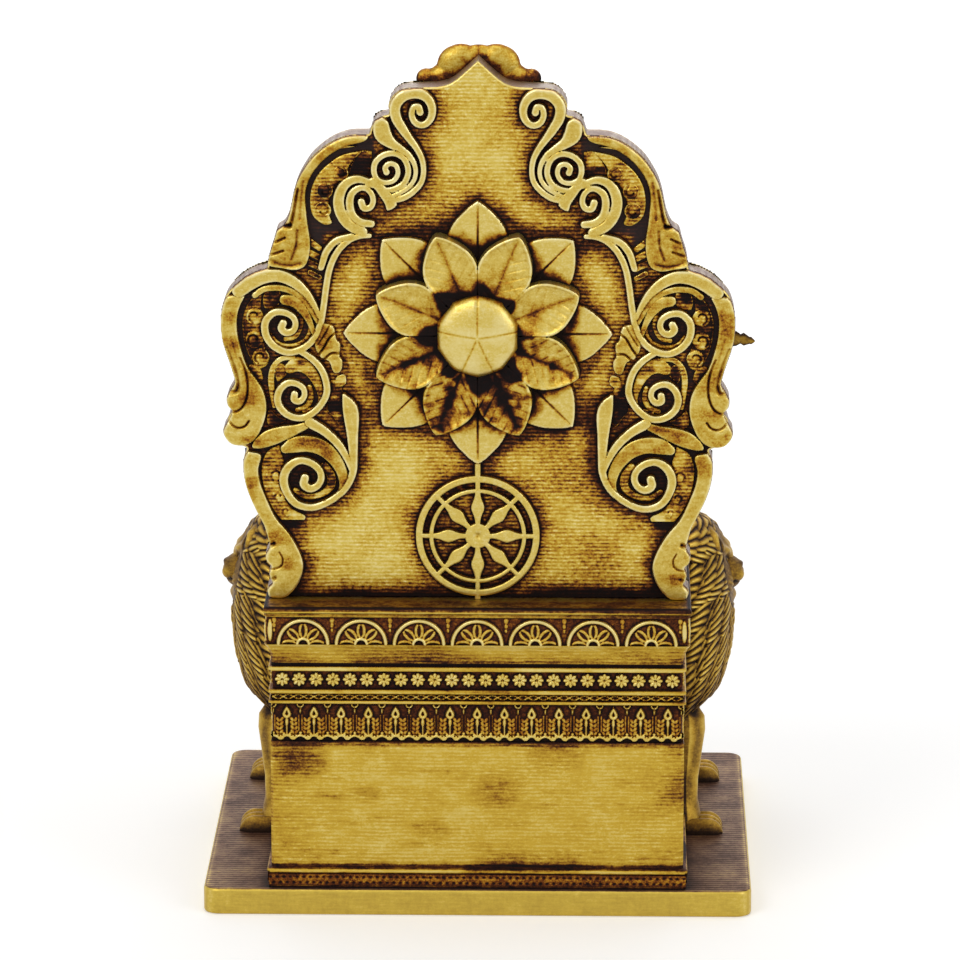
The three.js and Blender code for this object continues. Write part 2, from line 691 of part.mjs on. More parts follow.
const wingShares = [
  [0.906, 0.567], [0.970, 0.566], [0.987, 0.552], [0.996, 0.536], [0.998, 0.518], [0.996, 0.493],
  [0.983, 0.468], [0.968, 0.447], [0.953, 0.424], [0.945, 0.405], [0.964, 0.389], [0.977, 0.375],
  [0.973, 0.363], [0.957, 0.352], [0.977, 0.329], [0.991, 0.315], [0.983, 0.302], [0.962, 0.292],
  [0.928, 0.289], [0.898, 0.292], [0.872, 0.301], [0.851, 0.316], [0.830, 0.343], [0.826, 0.366],
  [0.836, 0.389], [0.862, 0.411], [0.891, 0.429], [0.906, 0.444], [0.919, 0.463], [0.932, 0.486],
  [0.938, 0.509], [0.936, 0.532], [0.923, 0.552],
];
const footShares = [
  [0.896, 0.277], [0.912, 0.263], [0.915, 0.248], [0.909, 0.220], [0.889, 0.190], [0.862, 0.162],
  [0.836, 0.138], [0.822, 0.116], [0.814, 0.096], [0.830, 0.081], [0.826, 0.070], [0.808, 0.061],
  [0.817, 0.047], [0.804, 0.028], [0.824, 0.016], [0.819, 0.004], [0.796, 0.002], [0.757, 0.003],
  [0.715, 0.022], [0.691, 0.047], [0.687, 0.067], [0.704, 0.092], [0.745, 0.125], [0.791, 0.151],
  [0.830, 0.190], [0.853, 0.219], [0.860, 0.245], [0.849, 0.271],
];

function onBackrest(side, across, up) {
  return [side * across * backrestHalfWidth, seatTop + up * backrestHeight];
}

// A scroll: a band with sloping sides carried along a smooth curve, its width changing on the way.
function scroll(shares, side, samples) {
  const controls = shares.map(([across, up, width]) => {
    const [x, z] = onBackrest(side, across, up);
    return new THREE.Vector3(x, width * scrollBand, z);
  });
  const curve = new THREE.CatmullRomCurve3(controls, false, 'centripetal');
  const steps = Math.round((shares.length - 1) * samples);
  const rings = [];
  for (let step = 0; step <= steps; step += 1) {
    const middle = curve.getPoint(step / steps);
    const along = curve.getTangent(step / steps).setY(0).normalize();
    const half = middle.y / 2;
    const crown = half * scrollCrownShare;
    rings.push([[-half, 0], [-crown, scrollHeight], [crown, scrollHeight], [half, 0]].map(
      ([aside, out]) => new THREE.Vector3(middle.x + along.z * aside, -out, middle.z - along.x * aside),
    ));
  }
  return loft(rings);
}

function leaf(shares, side, height) {
  const points = shares.map(([across, up]) => new THREE.Vector2(...onBackrest(side, across, up)));
  return raised(new THREE.Shape(points), height);
}

// Each carving is one piece of relief, joined from the scrolls and the leaf that cross in it.
const backCarvings = {
  top_scroll: [[voluteShares, knobShares, curlShares, outerHookShares, innerHookShares], claspShares],
  mid_scroll: [
    [longStemShares, budStemShares, archLeafShares, innerArchShares, fatLeafShares, lowerMidShares],
    tuftShares,
  ],
  lower_scroll: [[bladeShares, secondBladeShares, innerBandShares, leafArchShares], null],
};
const frontCarvings = {
  top_scroll: [[voluteShares, knobShares, outerHookShares], claspShares],
  mid_scroll: [[longStemShares, archLeafShares, lowerMidShares], null],
  lower_scroll: [[bladeShares, innerBandShares], null],
};
const backLeaves = {
  foot_leaf: [footShares, leafHeight],
  shoulder_leaf: [shoulderShares, leafHeight],
  crescent_leaf: [crescentShares, lowLeafHeight],
  wing_leaf: [wingShares, leafHeight],
};
const backSamples = 1;
const frontSamples = 0.8;

function carving([scrolls, clasp], side, samples) {
  const pieces = scrolls.map((shares) => scroll(shares, side, samples));
  if (clasp) pieces.push(leaf(clasp, side, leafHeight));
  return joined(pieces);
}

addPart('backrest_plate', backrestPlate(), shadedBrass);
[[-1, 'left'], [1, 'right']].forEach(([side, sideName]) => {
  Object.entries(backCarvings).forEach(([name, tables]) => {
    const geometry = carving(tables, side, backSamples).translate(0, backFaceY, 0);
    addPart(`back_${name}_${sideName}`, geometry, brass);
  });
  Object.entries(backLeaves).forEach(([name, [shares, height]]) => {
    addPart(`back_${name}_${sideName}`, leaf(shares, side, height).translate(0, backFaceY, 0), brass);
  });
  const turnedRound = (geometry) => geometry.rotateZ(Math.PI).translate(0, frontFaceY, 0);
  Object.entries(frontCarvings).forEach(([name, tables]) => {
    const geometry = turnedRound(carving(tables, -side, frontSamples));
    addPart(`front_${name}_${sideName}`, geometry, brass);
  });
  addPart(`front_foot_leaf_${sideName}`, turnedRound(leaf(footShares, -side, leafHeight)), brass);
});

// Lotus

// A petal along +z of its ring: pointed at the tip, with a crease or a ridge down the middle.
function petal(from, to, width, heights) {
  const stations = [[0, 0.45], [0.38, 0.94], [0.66, 0.93], [0.88, 0.52], [1, 0.04]];
  const rings = stations.map(([along, widthShare]) => {
    const half = (width / 2) * widthShare;
    const z = from + along * (to - from);
    const edge = heights.root + (heights.edge - heights.root) * along;
    const middle = heights.root + (heights.middle - heights.root) * along;
    return [[-half, 0], [-half, edge], [0, middle], [half, edge], [half, 0]].map(
      ([x, out]) => new THREE.Vector3(x, -out, z),
    );
  });
  return loft(rings);
}

function petalRing(from, to, width, heights, startAngle) {
  const petals = [];
  for (let i = 0; i < petalCount; i += 1) {
    const angle = startAngle + (i * 2 * Math.PI) / petalCount;
    petals.push(petal(from, to, width, heights).rotateY(angle));
  }
  return petals;
}

function disc(radius, thickness, segments) {
  const profile = [[0, 0], [radius, 0], [radius, thickness], [0, thickness]];
  return turned(profile, segments).rotateX(Math.PI / 2);
}

function lotusOuter() {
  const heights = {
    root: lotusHubThickness * 0.6,
    edge: lotusOuterThickness * 0.8,
    middle: lotusOuterThickness,
  };
  const hub = disc(lotusHubRadius, lotusHubThickness, 12);
  const petals = petalRing(lotusHubRadius * 0.8, lotusOuterRadius, lotusOuterPetalWidth, heights, 0);
  return joined([hub, ...petals]);
}

function lotusInner() {
  const heights = {
    root: lotusHubThickness * 0.7,
    edge: lotusInnerThickness,
    middle: lotusInnerThickness * 0.7,
  };
  const hub = disc(lotusHubRadius, lotusHubThickness, 12);
  const start = Math.PI / petalCount;
  const petals = petalRing(budRadius * 0.6, lotusInnerRadius, lotusInnerPetalWidth, heights, start);
  return joined([hub, ...petals]);
}

function lotusBud() {
  const profile = [
    [0, 0],
    [budRadius * 0.86, 0],
    [budRadius, budHeight * 0.4],
    [budRadius * 0.9, budHeight * 0.75],
    [0, budHeight],
  ];
  return turned(profile, budFacets).rotateX(Math.PI / 2);
}

const innerRingY = backFaceY - Math.max(lotusHubThickness, lotusOuterThickness);
addPart('lotus_outer_petals', lotusOuter().translate(0, backFaceY, lotusCentreZ), brass);
addPart('lotus_inner_petals', lotusInner().translate(0, innerRingY, lotusCentreZ), brass);
const budY = innerRingY - lotusInnerThickness * 0.7;
addPart('lotus_bud', lotusBud().translate(0, budY, lotusCentreZ), brass);

// Wheel on its stem, below the lotus
function stemmedWheel() {
  const inner = wheelRadius - wheelBand;
  const ringProfile = [
    [inner, 0], [wheelRadius, 0], [wheelRadius, wheelThickness], [inner, wheelThickness], [inner, 0],
  ];
  const pieces = [
    turned(ringProfile, 24).rotateX(Math.PI / 2),
    disc(wheelHubRadius, wheelThickness, 12),
  ];
  const spokeEnds = [wheelHubRadius / 2, inner + wheelBand / 2];
  const lens = [[0.15, 0], [0.5, 0.45], [0.15, 1], [-0.15, 1], [-0.5, 0.45], [-0.15, 0]].map(
    ([across, along]) => new THREE.Vector2(
      across * wheelSpokeWidth,
      spokeEnds[0] + along * (spokeEnds[1] - spokeEnds[0]),
    ),
  );
  for (let i = 0; i < wheelSpokes; i += 1) {
    const spoke = raised(new THREE.Shape(lens), wheelThickness * 0.8);
    pieces.push(spoke.rotateY((i * 2 * Math.PI) / wheelSpokes));
  }
  const stem = (bottom, top) => box(
    stemWidth,
    wheelThickness,
    top - bottom,
    0,
    -wheelThickness / 2,
    bottom - wheelCentreZ,
  );
  const ringMiddle = wheelRadius - wheelBand / 2;
  pieces.push(stem(seatTop, wheelCentreZ - ringMiddle));
  pieces.push(stem(wheelCentreZ + ringMiddle, lotusCentreZ - lotusOuterRadius - seatGap));
  return joined(pieces);
}

addPart('wheel_and_stem', stemmedWheel().translate(0, backFaceY, wheelCentreZ), brass);

// Leaf finial on the front face, whose lobes show above the point of the backrest
const crestLobeShares = [
  [0.00, -1.00], [0.20, -0.93], [0.34, -0.72], [0.52, -0.62], [0.46, -0.45], [0.60, -0.42],
  [0.60, -0.305], [1.00, -0.285], [0.92, -0.22], [0.66, -0.235], [0.64, -0.16], [0.54, -0.08],
  [0.41, -0.02], [0.24, -0.025], [0.14, 0.00],
];

function crestLeaf() {
  const half = crestLobeShares.map(([across, up]) => [across * crestHalfWidth, up * crestHeight]);
  const left = half.slice(1).reverse().map(([x, z]) => [-x, z]);
  const outline = new THREE.Shape([...half, ...left].map(([x, z]) => new THREE.Vector2(x, z)));
  const blade = raised(outline, crestThickness);
  const heart = petal(0, crestHeight * 0.8, crestHalfWidth * 0.5, {
    root: crestThickness + crestHeartThickness,
    edge: crestThickness,
    middle: crestThickness + crestHeartThickness,
  }).translate(0, 0, -crestHeight * 0.92);
  return joined([blade, heart]).rotateZ(Math.PI).translate(0, frontFaceY, crestTop);
}

// A fluted leaf tip that reaches past the right edge of the backrest
function leafTip() {
  const stations = [[0, 0.7], [0.3, 1], [0.6, 0.85], [0.85, 0.5], [1, 0.08]];
  const fluteShares = [[-0.5, 0], [-0.42, 0.7], [-0.15, 1], [0, 0.7], [0.15, 1], [0.42, 0.7], [0.5, 0]];
  const rings = stations.map(([along, size]) => fluteShares.map(([up, out]) => (
    new THREE.Vector3(along * tipLength, out * size * tipThickness, up * size * tipWidth))));
  return loft(rings).translate(tipStart, frontFaceY, seatTop + tipRiseShare * backrestHeight);
}

addPart('crest_leaf', crestLeaf(), brass);
addPart('side_leaf_tip', leafTip(), shadedBrass);

// Lions

// What the lions rest against: the seat box and slab, a named gap larger.
function seatEnvelope() {
  const bead = plinthProjection + beadProjection + seatGap;
  return courses([
    [bead, baseThickness - overrun],
    [bead, panelBottom],
    [seatGap, panelBottom],
    [seatGap, panelTop],
    [beadProjection + seatGap, panelTop],
    [beadProjection + seatGap, coveBottom],
    [arcadeProjection + seatGap, arcadeBottom],
    [arcadeProjection + seatGap, arcadeTop],
    [slabProjection + seatGap, arcadeTop],
    [slabProjection + seatGap, seatTop + seatGap],
  ]);
}

// A flat-backed round section at one height, bulging outward; its locks alternate with the rings.
function reliefRing(side, z, reach, halfWidth, offsetY, lockShift, lockShare, segments) {
  const ring = [];
  for (let i = 0; i <= segments; i += 1) {
    const angle = (i * Math.PI) / segments;
    const lock = 1 - lockShare * ((i + lockShift) % 2);
    const x = lionOriginX + lock * reach * Math.sin(angle);
    ring.push(new THREE.Vector3(side * x, lionCentreY + offsetY - lock * halfWidth * Math.cos(angle), z));
  }
  return ring;
}

// Mane and chest from below the chin to the crown: [share of height, reach, width]
const maneShares = [
  [0.00, 0.43, 0.98], [0.05, 0.62, 1.00], [0.12, 0.78, 1.00], [0.25, 0.90, 0.99],
  [0.37, 0.96, 0.97], [0.50, 0.96, 0.93], [0.62, 0.90, 0.86], [0.74, 0.80, 0.76],
  [0.85, 0.70, 0.63], [0.93, 0.58, 0.48], [1.00, 0.30, 0.22],
];

function roundLump(radiusX, radiusY, radiusZ, x, y, z) {
  const geometry = new THREE.SphereGeometry(1, 8, 6);
  return geometry.scale(radiusX, radiusY, radiusZ).translate(x, y, z);
}

function lionBust(side) {
  const maneHeight = lionTop - lionChest;
  const rings = maneShares.map(([up, reach, width], ring) => reliefRing(
    side,
    lionChest + up * maneHeight,
    reach * lionReach,
    width * lionHalfWidth,
    0,
    ring,
    ring > 0 ? lockDepthShare : 0,
    12,
  ));
  const headX = side * (lionOriginX + lionHeadOut);
  const headZ = lionTop - lionHeadDrop;
  const head = roundLump(
    lionHeadRadius, lionHeadRadius, lionHeadRadius * 1.05, headX, lionCentreY, headZ,
  );
  const muzzle = roundLump(
    muzzleRadius,
    muzzleRadius,
    muzzleRadius * 0.85,
    side * (lionOriginX + muzzleOut),
    lionCentreY,
    lionTop - muzzleDrop,
  );
  const ears = [-1, 1].map((ear) => roundLump(
    earRadius,
    earRadius,
    earRadius,
    headX,
    lionCentreY + ear * lionHeadRadius * 0.85,
    headZ + lionHeadRadius * 0.8,
  ));
  const hole = boltHole(
    boltRadius + jointGap, boxHalfX - overrun, boxHalfX + boltGrip + jointGap,
  );
  const bust = joined([loft(rings), head, muzzle, ...ears]);
  return cut(bust, [seatEnvelope(), boltPlace(hole, side)]);
}

// A foreleg from the paw to the shoulder: [height share, reach, half width]; the paw has three toes.
const legShares = [
  [0.26, 1.00, 0.82], [0.45, 0.92, 0.74], [0.68, 0.94, 0.80], [0.86, 1.06, 0.95], [1.00, 1.10, 1.00],
];

function foreleg(side, row) {
  const height = lionChest - baseThickness;
  const rings = legShares.map(([up, reach, width]) => reliefRing(
    side,
    baseThickness + up * height,
    lionInset + reach * legReach,
    width * legHalfWidth,
    row * (legSpread + (legShoulderSpread - legSpread) * up),
    0,
    0,
    6,
  ));
  const footY = row * (legSpread + (legShoulderSpread - legSpread) * legShares[0][0]);
  const ankle = reliefRing(
    side, baseThickness + pawHeight, lionInset + legReach, legHalfWidth * 0.9, footY, 0, 0, 6,
  );
  const sole = reliefRing(
    side, baseThickness, lionInset + legReach, legHalfWidth, row * legSpread, 0, 0, 6,
  );
  const shank = loft([sole, ankle, ...rings]);
  const toes = [-1, 0, 1].map((toe) => {
    const radius = legHalfWidth * 0.42;
    const rings2 = [[0, 0.8], [0.5, 1], [0.85, 0.85], [1, 0.4]].map(([along, size]) => {
      const section = [];
      for (let i = 0; i <= 4; i += 1) {
        const angle = (i * Math.PI) / 4;
        section.push(new THREE.Vector3(
          side * (boxHalfX + along * pawReach),
          lionCentreY + row * legSpread + toe * radius * 1.5 - size * radius * Math.cos(angle),
          baseThickness + size * pawHeight * Math.sin(angle),
        ));
      }
      return section;
    });
    return loft(rings2);
  });
  return cut(joined([shank, ...toes]), [seatEnvelope()]);
}

function lionBolt(side) {
  const start = cavityHalfX - boltHeadHeight;
  const tip = boxHalfX + boltGrip;
  const profile = [
    [0, start], [boltHeadRadius, start], [boltHeadRadius, cavityHalfX], [boltRadius, cavityHalfX],
    [boltRadius, tip], [0, tip],
  ];
  return boltPlace(turned(profile, 10), side);
}

[[-1, 'left'], [1, 'right']].forEach(([side, sideName]) => {
  addPart(`lion_bust_${sideName}`, lionBust(side), agedBrass);
  addPart(`lion_near_foreleg_${sideName}`, foreleg(side, -1), agedBrass);
  addPart(`lion_far_foreleg_${sideName}`, foreleg(side, 1), agedBrass);
  addPart(`lion_bolt_${sideName}`, lionBolt(side), steel);
});

export default group;
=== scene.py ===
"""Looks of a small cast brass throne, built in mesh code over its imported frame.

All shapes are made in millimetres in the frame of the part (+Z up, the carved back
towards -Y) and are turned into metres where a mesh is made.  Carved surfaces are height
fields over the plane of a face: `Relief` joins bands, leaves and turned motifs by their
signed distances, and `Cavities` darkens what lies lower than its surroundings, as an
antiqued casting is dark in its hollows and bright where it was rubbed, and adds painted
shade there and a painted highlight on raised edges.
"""

import json
import logging
import math
from dataclasses import dataclass
from enum import Enum
from typing import Callable, Optional, Sequence

import bpy
import numpy as np
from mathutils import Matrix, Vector

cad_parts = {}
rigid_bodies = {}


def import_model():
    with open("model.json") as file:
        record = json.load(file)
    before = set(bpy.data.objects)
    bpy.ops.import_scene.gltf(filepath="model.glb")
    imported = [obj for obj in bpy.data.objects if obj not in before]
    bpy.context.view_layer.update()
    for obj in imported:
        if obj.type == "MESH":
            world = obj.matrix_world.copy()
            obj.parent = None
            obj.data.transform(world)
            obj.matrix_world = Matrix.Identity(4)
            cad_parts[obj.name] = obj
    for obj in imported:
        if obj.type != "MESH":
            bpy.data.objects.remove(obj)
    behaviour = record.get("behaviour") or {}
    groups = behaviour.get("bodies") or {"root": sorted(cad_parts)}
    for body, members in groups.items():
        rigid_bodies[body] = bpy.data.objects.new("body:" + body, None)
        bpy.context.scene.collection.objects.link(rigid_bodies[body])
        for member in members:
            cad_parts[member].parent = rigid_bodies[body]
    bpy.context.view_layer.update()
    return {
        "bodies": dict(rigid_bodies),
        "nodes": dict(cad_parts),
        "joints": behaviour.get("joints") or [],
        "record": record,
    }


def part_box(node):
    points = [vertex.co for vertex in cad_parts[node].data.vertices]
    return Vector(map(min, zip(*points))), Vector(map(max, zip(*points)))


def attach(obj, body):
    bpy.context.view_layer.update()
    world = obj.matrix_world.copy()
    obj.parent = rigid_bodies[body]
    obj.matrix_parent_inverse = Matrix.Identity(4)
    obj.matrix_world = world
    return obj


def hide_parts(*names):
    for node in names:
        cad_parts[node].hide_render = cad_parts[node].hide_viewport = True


log = logging.getLogger("throne")
Array = np.ndarray
Field = Callable[[Array, Array, Array], Array]
MM = 0.001
# top of the tone scale; tones above 1 are paler than rubbed brass and are used for painted highlights
TOP_TONE = 1.25
FAR = 1000.0
TINY = 1e-9
REACH_MARGIN = 0.8
REARWARD = (0, -1, 0)


# Sizes, as in the part


@dataclass(frozen=True)
class Sizes:
    """Sizes of the throne in millimetres."""

    base_width: float = 102.0
    base_depth: float = 91.0
    base_top: float = 5.0
    base_corner: float = 3.0
    box_half_x: float = 38.25
    box_half_y: float = 38.5
    box_y: float = -5.5
    plinth_top: float = 8.0
    panel_bottom: float = 9.0
    panel_top: float = 33.2
    frieze_top: float = 40.5
    chain_bottom: float = 41.1
    chain_top: float = 42.4
    rosette_bottom: float = 43.2
    rosette_top: float = 47.5
    cove_bottom: float = 48.0
    arcade_bottom: float = 52.0
    arcade_top: float = 57.3
    box_top: float = 57.75
    seat_top: float = 59.1
    back_half: float = 47.0
    back_height: float = 100.6
    field_y: float = -37.6
    front_y: float = -31.1
    band: float = 1.598
    lotus_z: float = 109.4
    wheel_z: float = 71.2
    lion_y: float = 10.8


S = Sizes()


class Side(Enum):
    """The two mirrored sides of the throne, as seen from behind."""

    LEFT = -1
    RIGHT = 1

    @property
    def word(self) -> str:
        """Lower-case name used in node names."""
        return self.name.lower()


# Small numeric tools


def unit(t: Array) -> Array:
    """t clipped to 0..1."""
    return np.clip(t, 0.0, 1.0)


def smooth(t: Array) -> Array:
    """Smooth step of t clipped to 0..1.

    Args:
        t: values, any shape.

    Returns:
        3t^2 - 2t^3 of the clipped values.
    """
    t = unit(t)
    return t * t * (3.0 - 2.0 * t)


def bell(a: Array, wide: float, b: float = 0.0, tall: float = 1.0) -> Array:
    """exp(-(a / wide)^2 - (b / tall)^2), a bump of height 1 at a = b = 0."""
    return np.exp(-((a / wide) ** 2) - (b / tall) ** 2)


def mottle(x: Array, z: Array, size_x: float, size_z: float, seed: int) -> Array:
    """Smooth random blotches in 0..1, from a seeded lattice of values.

    Args:
        x: first coordinates in mm.
        z: second coordinates in mm.
        size_x: blotch size along x in mm.
        size_z: blotch size along z in mm.
        seed: seed of the lattice.

    Returns:
        Blended lattice values at the points.
    """
    values = np.random.default_rng(seed).random((256, 256))
    u, v = np.asarray(x) / size_x + 97.3, np.asarray(z) / size_z + 61.7
    i, j = np.floor(u).astype(int), np.floor(v).astype(int)
    fu, fv = smooth(u - i), smooth(v - j)
    a, b = values[i % 256, j % 256], values[(i + 1) % 256, j % 256]
    c, d = values[i % 256, (j + 1) % 256], values[(i + 1) % 256, (j + 1) % 256]
    return (a * (1 - fu) + b * fu) * (1 - fv) + (c * (1 - fu) + d * fu) * fv


def blur(grid: Array, sigma: float) -> Array:
    """Gaussian blur of a grid by its Fourier transform, with reflected edges.

    Args:
        grid: 2-D values.
        sigma: blur in cells.

    Returns:
        Blurred values of the same shape.
    """
    pad = int(3 * sigma) + 2
    wide = np.pad(grid, pad, mode="edge")
    fu = np.fft.fftfreq(wide.shape[0])[:, None]
    fv = np.fft.rfftfreq(wide.shape[1])[None, :]
    gain = np.exp(-2.0 * (math.pi * sigma) ** 2 * (fu**2 + fv**2))
    out = np.fft.irfft2(np.fft.rfft2(wide) * gain, s=wide.shape)
    return out[pad:-pad, pad:-pad]


def smooth_path(controls: Array, per_span: int) -> Array:
    """Centripetal Catmull-Rom curve through control points.

    Each span is the Hermite curve of p1, p2 with the tangents
    ((p1-p0)/d0 - (p2-p0)/(d0+d1) + (p2-p1)/d1) d1, where d = |p(i+1)-p(i)|^0.5.

    Args:
        controls: points, shape (n, k).
        per_span: samples in each span.

    Returns:
        Samples, shape ((n - 1) * per_span + 1, k).
    """
    c = np.asarray(controls, float)
    pts = np.vstack([2 * c[0] - c[1], c, 2 * c[-1] - c[-2]])
    d = np.sqrt(np.maximum(np.linalg.norm(np.diff(pts, axis=0), axis=1), 1e-6))[:, None]
    p0, p1, p2, p3 = pts[:-3], pts[1:-2], pts[2:-1], pts[3:]
    d0, d1, d2 = d[:-2], d[1:-1], d[2:]
    m1 = ((p1 - p0) / d0 - (p2 - p0) / (d0 + d1) + (p2 - p1) / d1) * d1
    m2 = ((p2 - p1) / d1 - (p3 - p1) / (d1 + d2) + (p3 - p2) / d2) * d1
    t = np.linspace(0, 1, per_span, endpoint=False)[None, :, None]
    p1, p2, m1, m2 = (q[:, None, :] for q in (p1, p2, m1, m2))
    run = (
        (2 * t**3 - 3 * t**2 + 1) * p1
        + (t**3 - 2 * t**2 + t) * m1
        + (3 * t**2 - 2 * t**3) * p2
        + (t**3 - t**2) * m2
    )
    return np.vstack([run.reshape(-1, c.shape[1]), c[-1:]])


def on_back(rows: Sequence[Sequence[float]]) -> Array:
    """Turns thousandths of the backrest's half width and height into mm, right side.

    Args:
        rows: rows of (across, up) or (across, up, hundredths of a band's width).

    Returns:
        Rows of (x, z) or (x, z, width) in mm.
    """
    out = np.array(rows, float)
    out[:, 0] *= S.back_half / 1000
    out[:, 1] = S.seat_top + out[:, 1] / 1000 * S.back_height
    if out.shape[1] > 2:
        out[:, 2] *= S.band / 100
    return out


# Signed shapes


class Shape:
    """A raised form over a plane. `inside` is positive inside its outline, in mm."""

    amber: float = 0.0  # how much darker than rubbed brass its top is

    def reach(self) -> tuple:
        """Box (x0, x1, z0, z1) outside which the shape plays no part."""
        return -FAR, FAR, -FAR, FAR

    def inside(self, x: Array, z: Array) -> Array:
        """Signed distance to the outline, positive inside."""
        raise NotImplementedError

    def height(self, x: Array, z: Array, inside: Array) -> Array:
        """Height above the plane where inside is positive."""
        raise NotImplementedError


def rounded(inside: Array, height: float, edge: float) -> Array:
    """Flat top with a quarter-round edge.

    h = height - edge + sqrt(edge^2 - (edge - min(inside, edge))^2)

    Args:
        inside: distance inside the outline in mm.
        height: height of the top in mm.
        edge: radius of the edge in mm.

    Returns:
        Heights in mm.
    """
    lack = edge - np.clip(inside, 0.0, edge)
    return height - edge + np.sqrt(np.maximum(edge**2 - lack**2, 0.0))


def around(points: Array, margin: float) -> tuple:
    """Box (x0, x1, z0, z1) of points with a margin in mm."""
    (x0, z0), (x1, z1) = points[:, :2].min(axis=0), points[:, :2].max(axis=0)
    return x0 - margin, x1 + margin, z0 - margin, z1 + margin


def nearest(x: Array, z: Array, path: Array) -> Array:
    """Largest half width less distance to a path of varying width.

    Args:
        x: first coordinates.
        z: second coordinates.
        path: rows of (x, z, width).

    Returns:
        Signed inside distance.
    """
    best = np.full(x.shape, -FAR)
    for (ax, az, aw), (bx, bz, bw) in zip(path[:-1], path[1:]):
        dx, dz = bx - ax, bz - az
        t = unit(((x - ax) * dx + (z - az) * dz) / max(dx * dx + dz * dz, TINY))
        gap = (aw + (bw - aw) * t) / 2 - np.hypot(x - ax - t * dx, z - az - t * dz)
        best = np.maximum(best, gap)
    return best


def distance(x: Array, z: Array, line: Array) -> Array:
    """Distance to a line of (x, z) points."""
    return -nearest(x, z, np.column_stack([line[:, :2], np.zeros(len(line))]))


@dataclass
class Band(Shape):
    """A carved band along a path of (x, z, width), with a flat top and rounded edges."""

    path: Array
    top: float = 1.6
    edge: float = 0.28

    def reach(self) -> tuple:
        """Box round the band."""
        return around(self.path, self.path[:, 2].max() / 2 + REACH_MARGIN)

    def inside(self, x: Array, z: Array) -> Array:
        """Half width less distance to the path."""
        return nearest(x, z, self.path)

    def height(self, x: Array, z: Array, inside: Array) -> Array:
        """Flat with a rounded edge."""
        return rounded(inside, self.top, self.edge)


@dataclass
class Crease:
    """A groove along a line: depth * exp(-(distance / width)^2) is taken off."""

    path: Array
    depth: float = 0.5
    width: float = 0.28

    def cut(self, x: Array, z: Array) -> Array:
        """Depth to take off at the points, in mm."""
        return self.depth * bell(distance(x, z, self.path), self.width)


@dataclass
class Leaf(Shape):
    """A carved leaf with a closed outline, an optional slope and creases.

    The slope lowers the leaf beside the line `slope_from` by slope mm over slope_run mm.
    """

    outline: Array
    top: float = 1.3
    edge: float = 0.3
    creases: Sequence[Crease] = ()
    slope_from: Optional[Array] = None
    slope: float = 0.0
    slope_run: float = 3.0
    slope_start: float = 0.7
    slope_above: float = 0.0
    slope_fade: float = 4.0
    least: float = 0.12

    def reach(self) -> tuple:
        """Box round the leaf."""
        return around(self.outline, REACH_MARGIN)

    def inside(self, x: Array, z: Array) -> Array:
        """Distance to the outline, positive where a ray crosses it an odd number of times."""
        a = self.outline
        edge = distance(x, z, np.vstack([a, a[:1]]))
        odd = np.zeros(x.shape, bool)
        for (ax, az), (bx, bz) in zip(a, np.roll(a, -1, axis=0)):
            if az != bz:
                odd ^= ((az > z) != (bz > z)) & (x < ax + (z - az) * (bx - ax) / (bz - az))
        return np.where(odd, edge, -edge)

    def height(self, x: Array, z: Array, inside: Array) -> Array:
        """Rounded top, less the slope and the creases."""
        h = rounded(inside, self.top, self.edge)
        if self.slope_from is not None:
            gap = distance(x, z, self.slope_from)
            fade = smooth((z - self.slope_above) / self.slope_fade)
            h = h - self.slope * fade * smooth((gap - self.slope_start) / self.slope_run)
        for crease in self.creases:
            h = h - crease.cut(x, z)
        return np.maximum(h, self.least)


@dataclass
class Formula(Shape):
    """A shape whose signed distance and height are given as functions of x and z."""

    signed: Callable[[Array, Array], Array]
    rise: Callable[[Array, Array, Array], Array]

    def inside(self, x: Array, z: Array) -> Array:
        """The given signed distance."""
        return self.signed(x, z)

    def height(self, x: Array, z: Array, inside: Array) -> Array:
        """The given height."""
        return self.rise(x, z, inside)


@dataclass
class Relief:
    """Shapes carved together: the highest one shows. `limit` trims them to its outline."""

    shapes: Sequence[Shape]
    limit: Optional[Shape] = None

    def at(self, x: Array, z: Array) -> tuple[Array, Array]:
        """Signed inside distance and height of the joined shapes at the points."""
        inside, height = np.full(x.shape, -FAR), np.zeros(x.shape)
        for shape in self.shapes:
            x0, x1, z0, z1 = shape.reach()
            m = (x > x0) & (x < x1) & (z > z0) & (z < z1)
            s = shape.inside(x[m], z[m])
            h = np.where(s > 0, shape.height(x[m], z[m], s), 0.0)
            inside[m] = np.maximum(inside[m], s)
            height[m] = np.maximum(height[m], h)
        if self.limit is not None:
            m = inside > -1.0
            edge = self.limit.inside(x[m], z[m]) - 0.12
            inside[m] = np.minimum(inside[m], edge)
            rim = np.where(edge > 0, rounded(edge, 2.0, 0.35), 0.0)
            height[m] = np.minimum(height[m], rim)
        return inside, height


# Patina


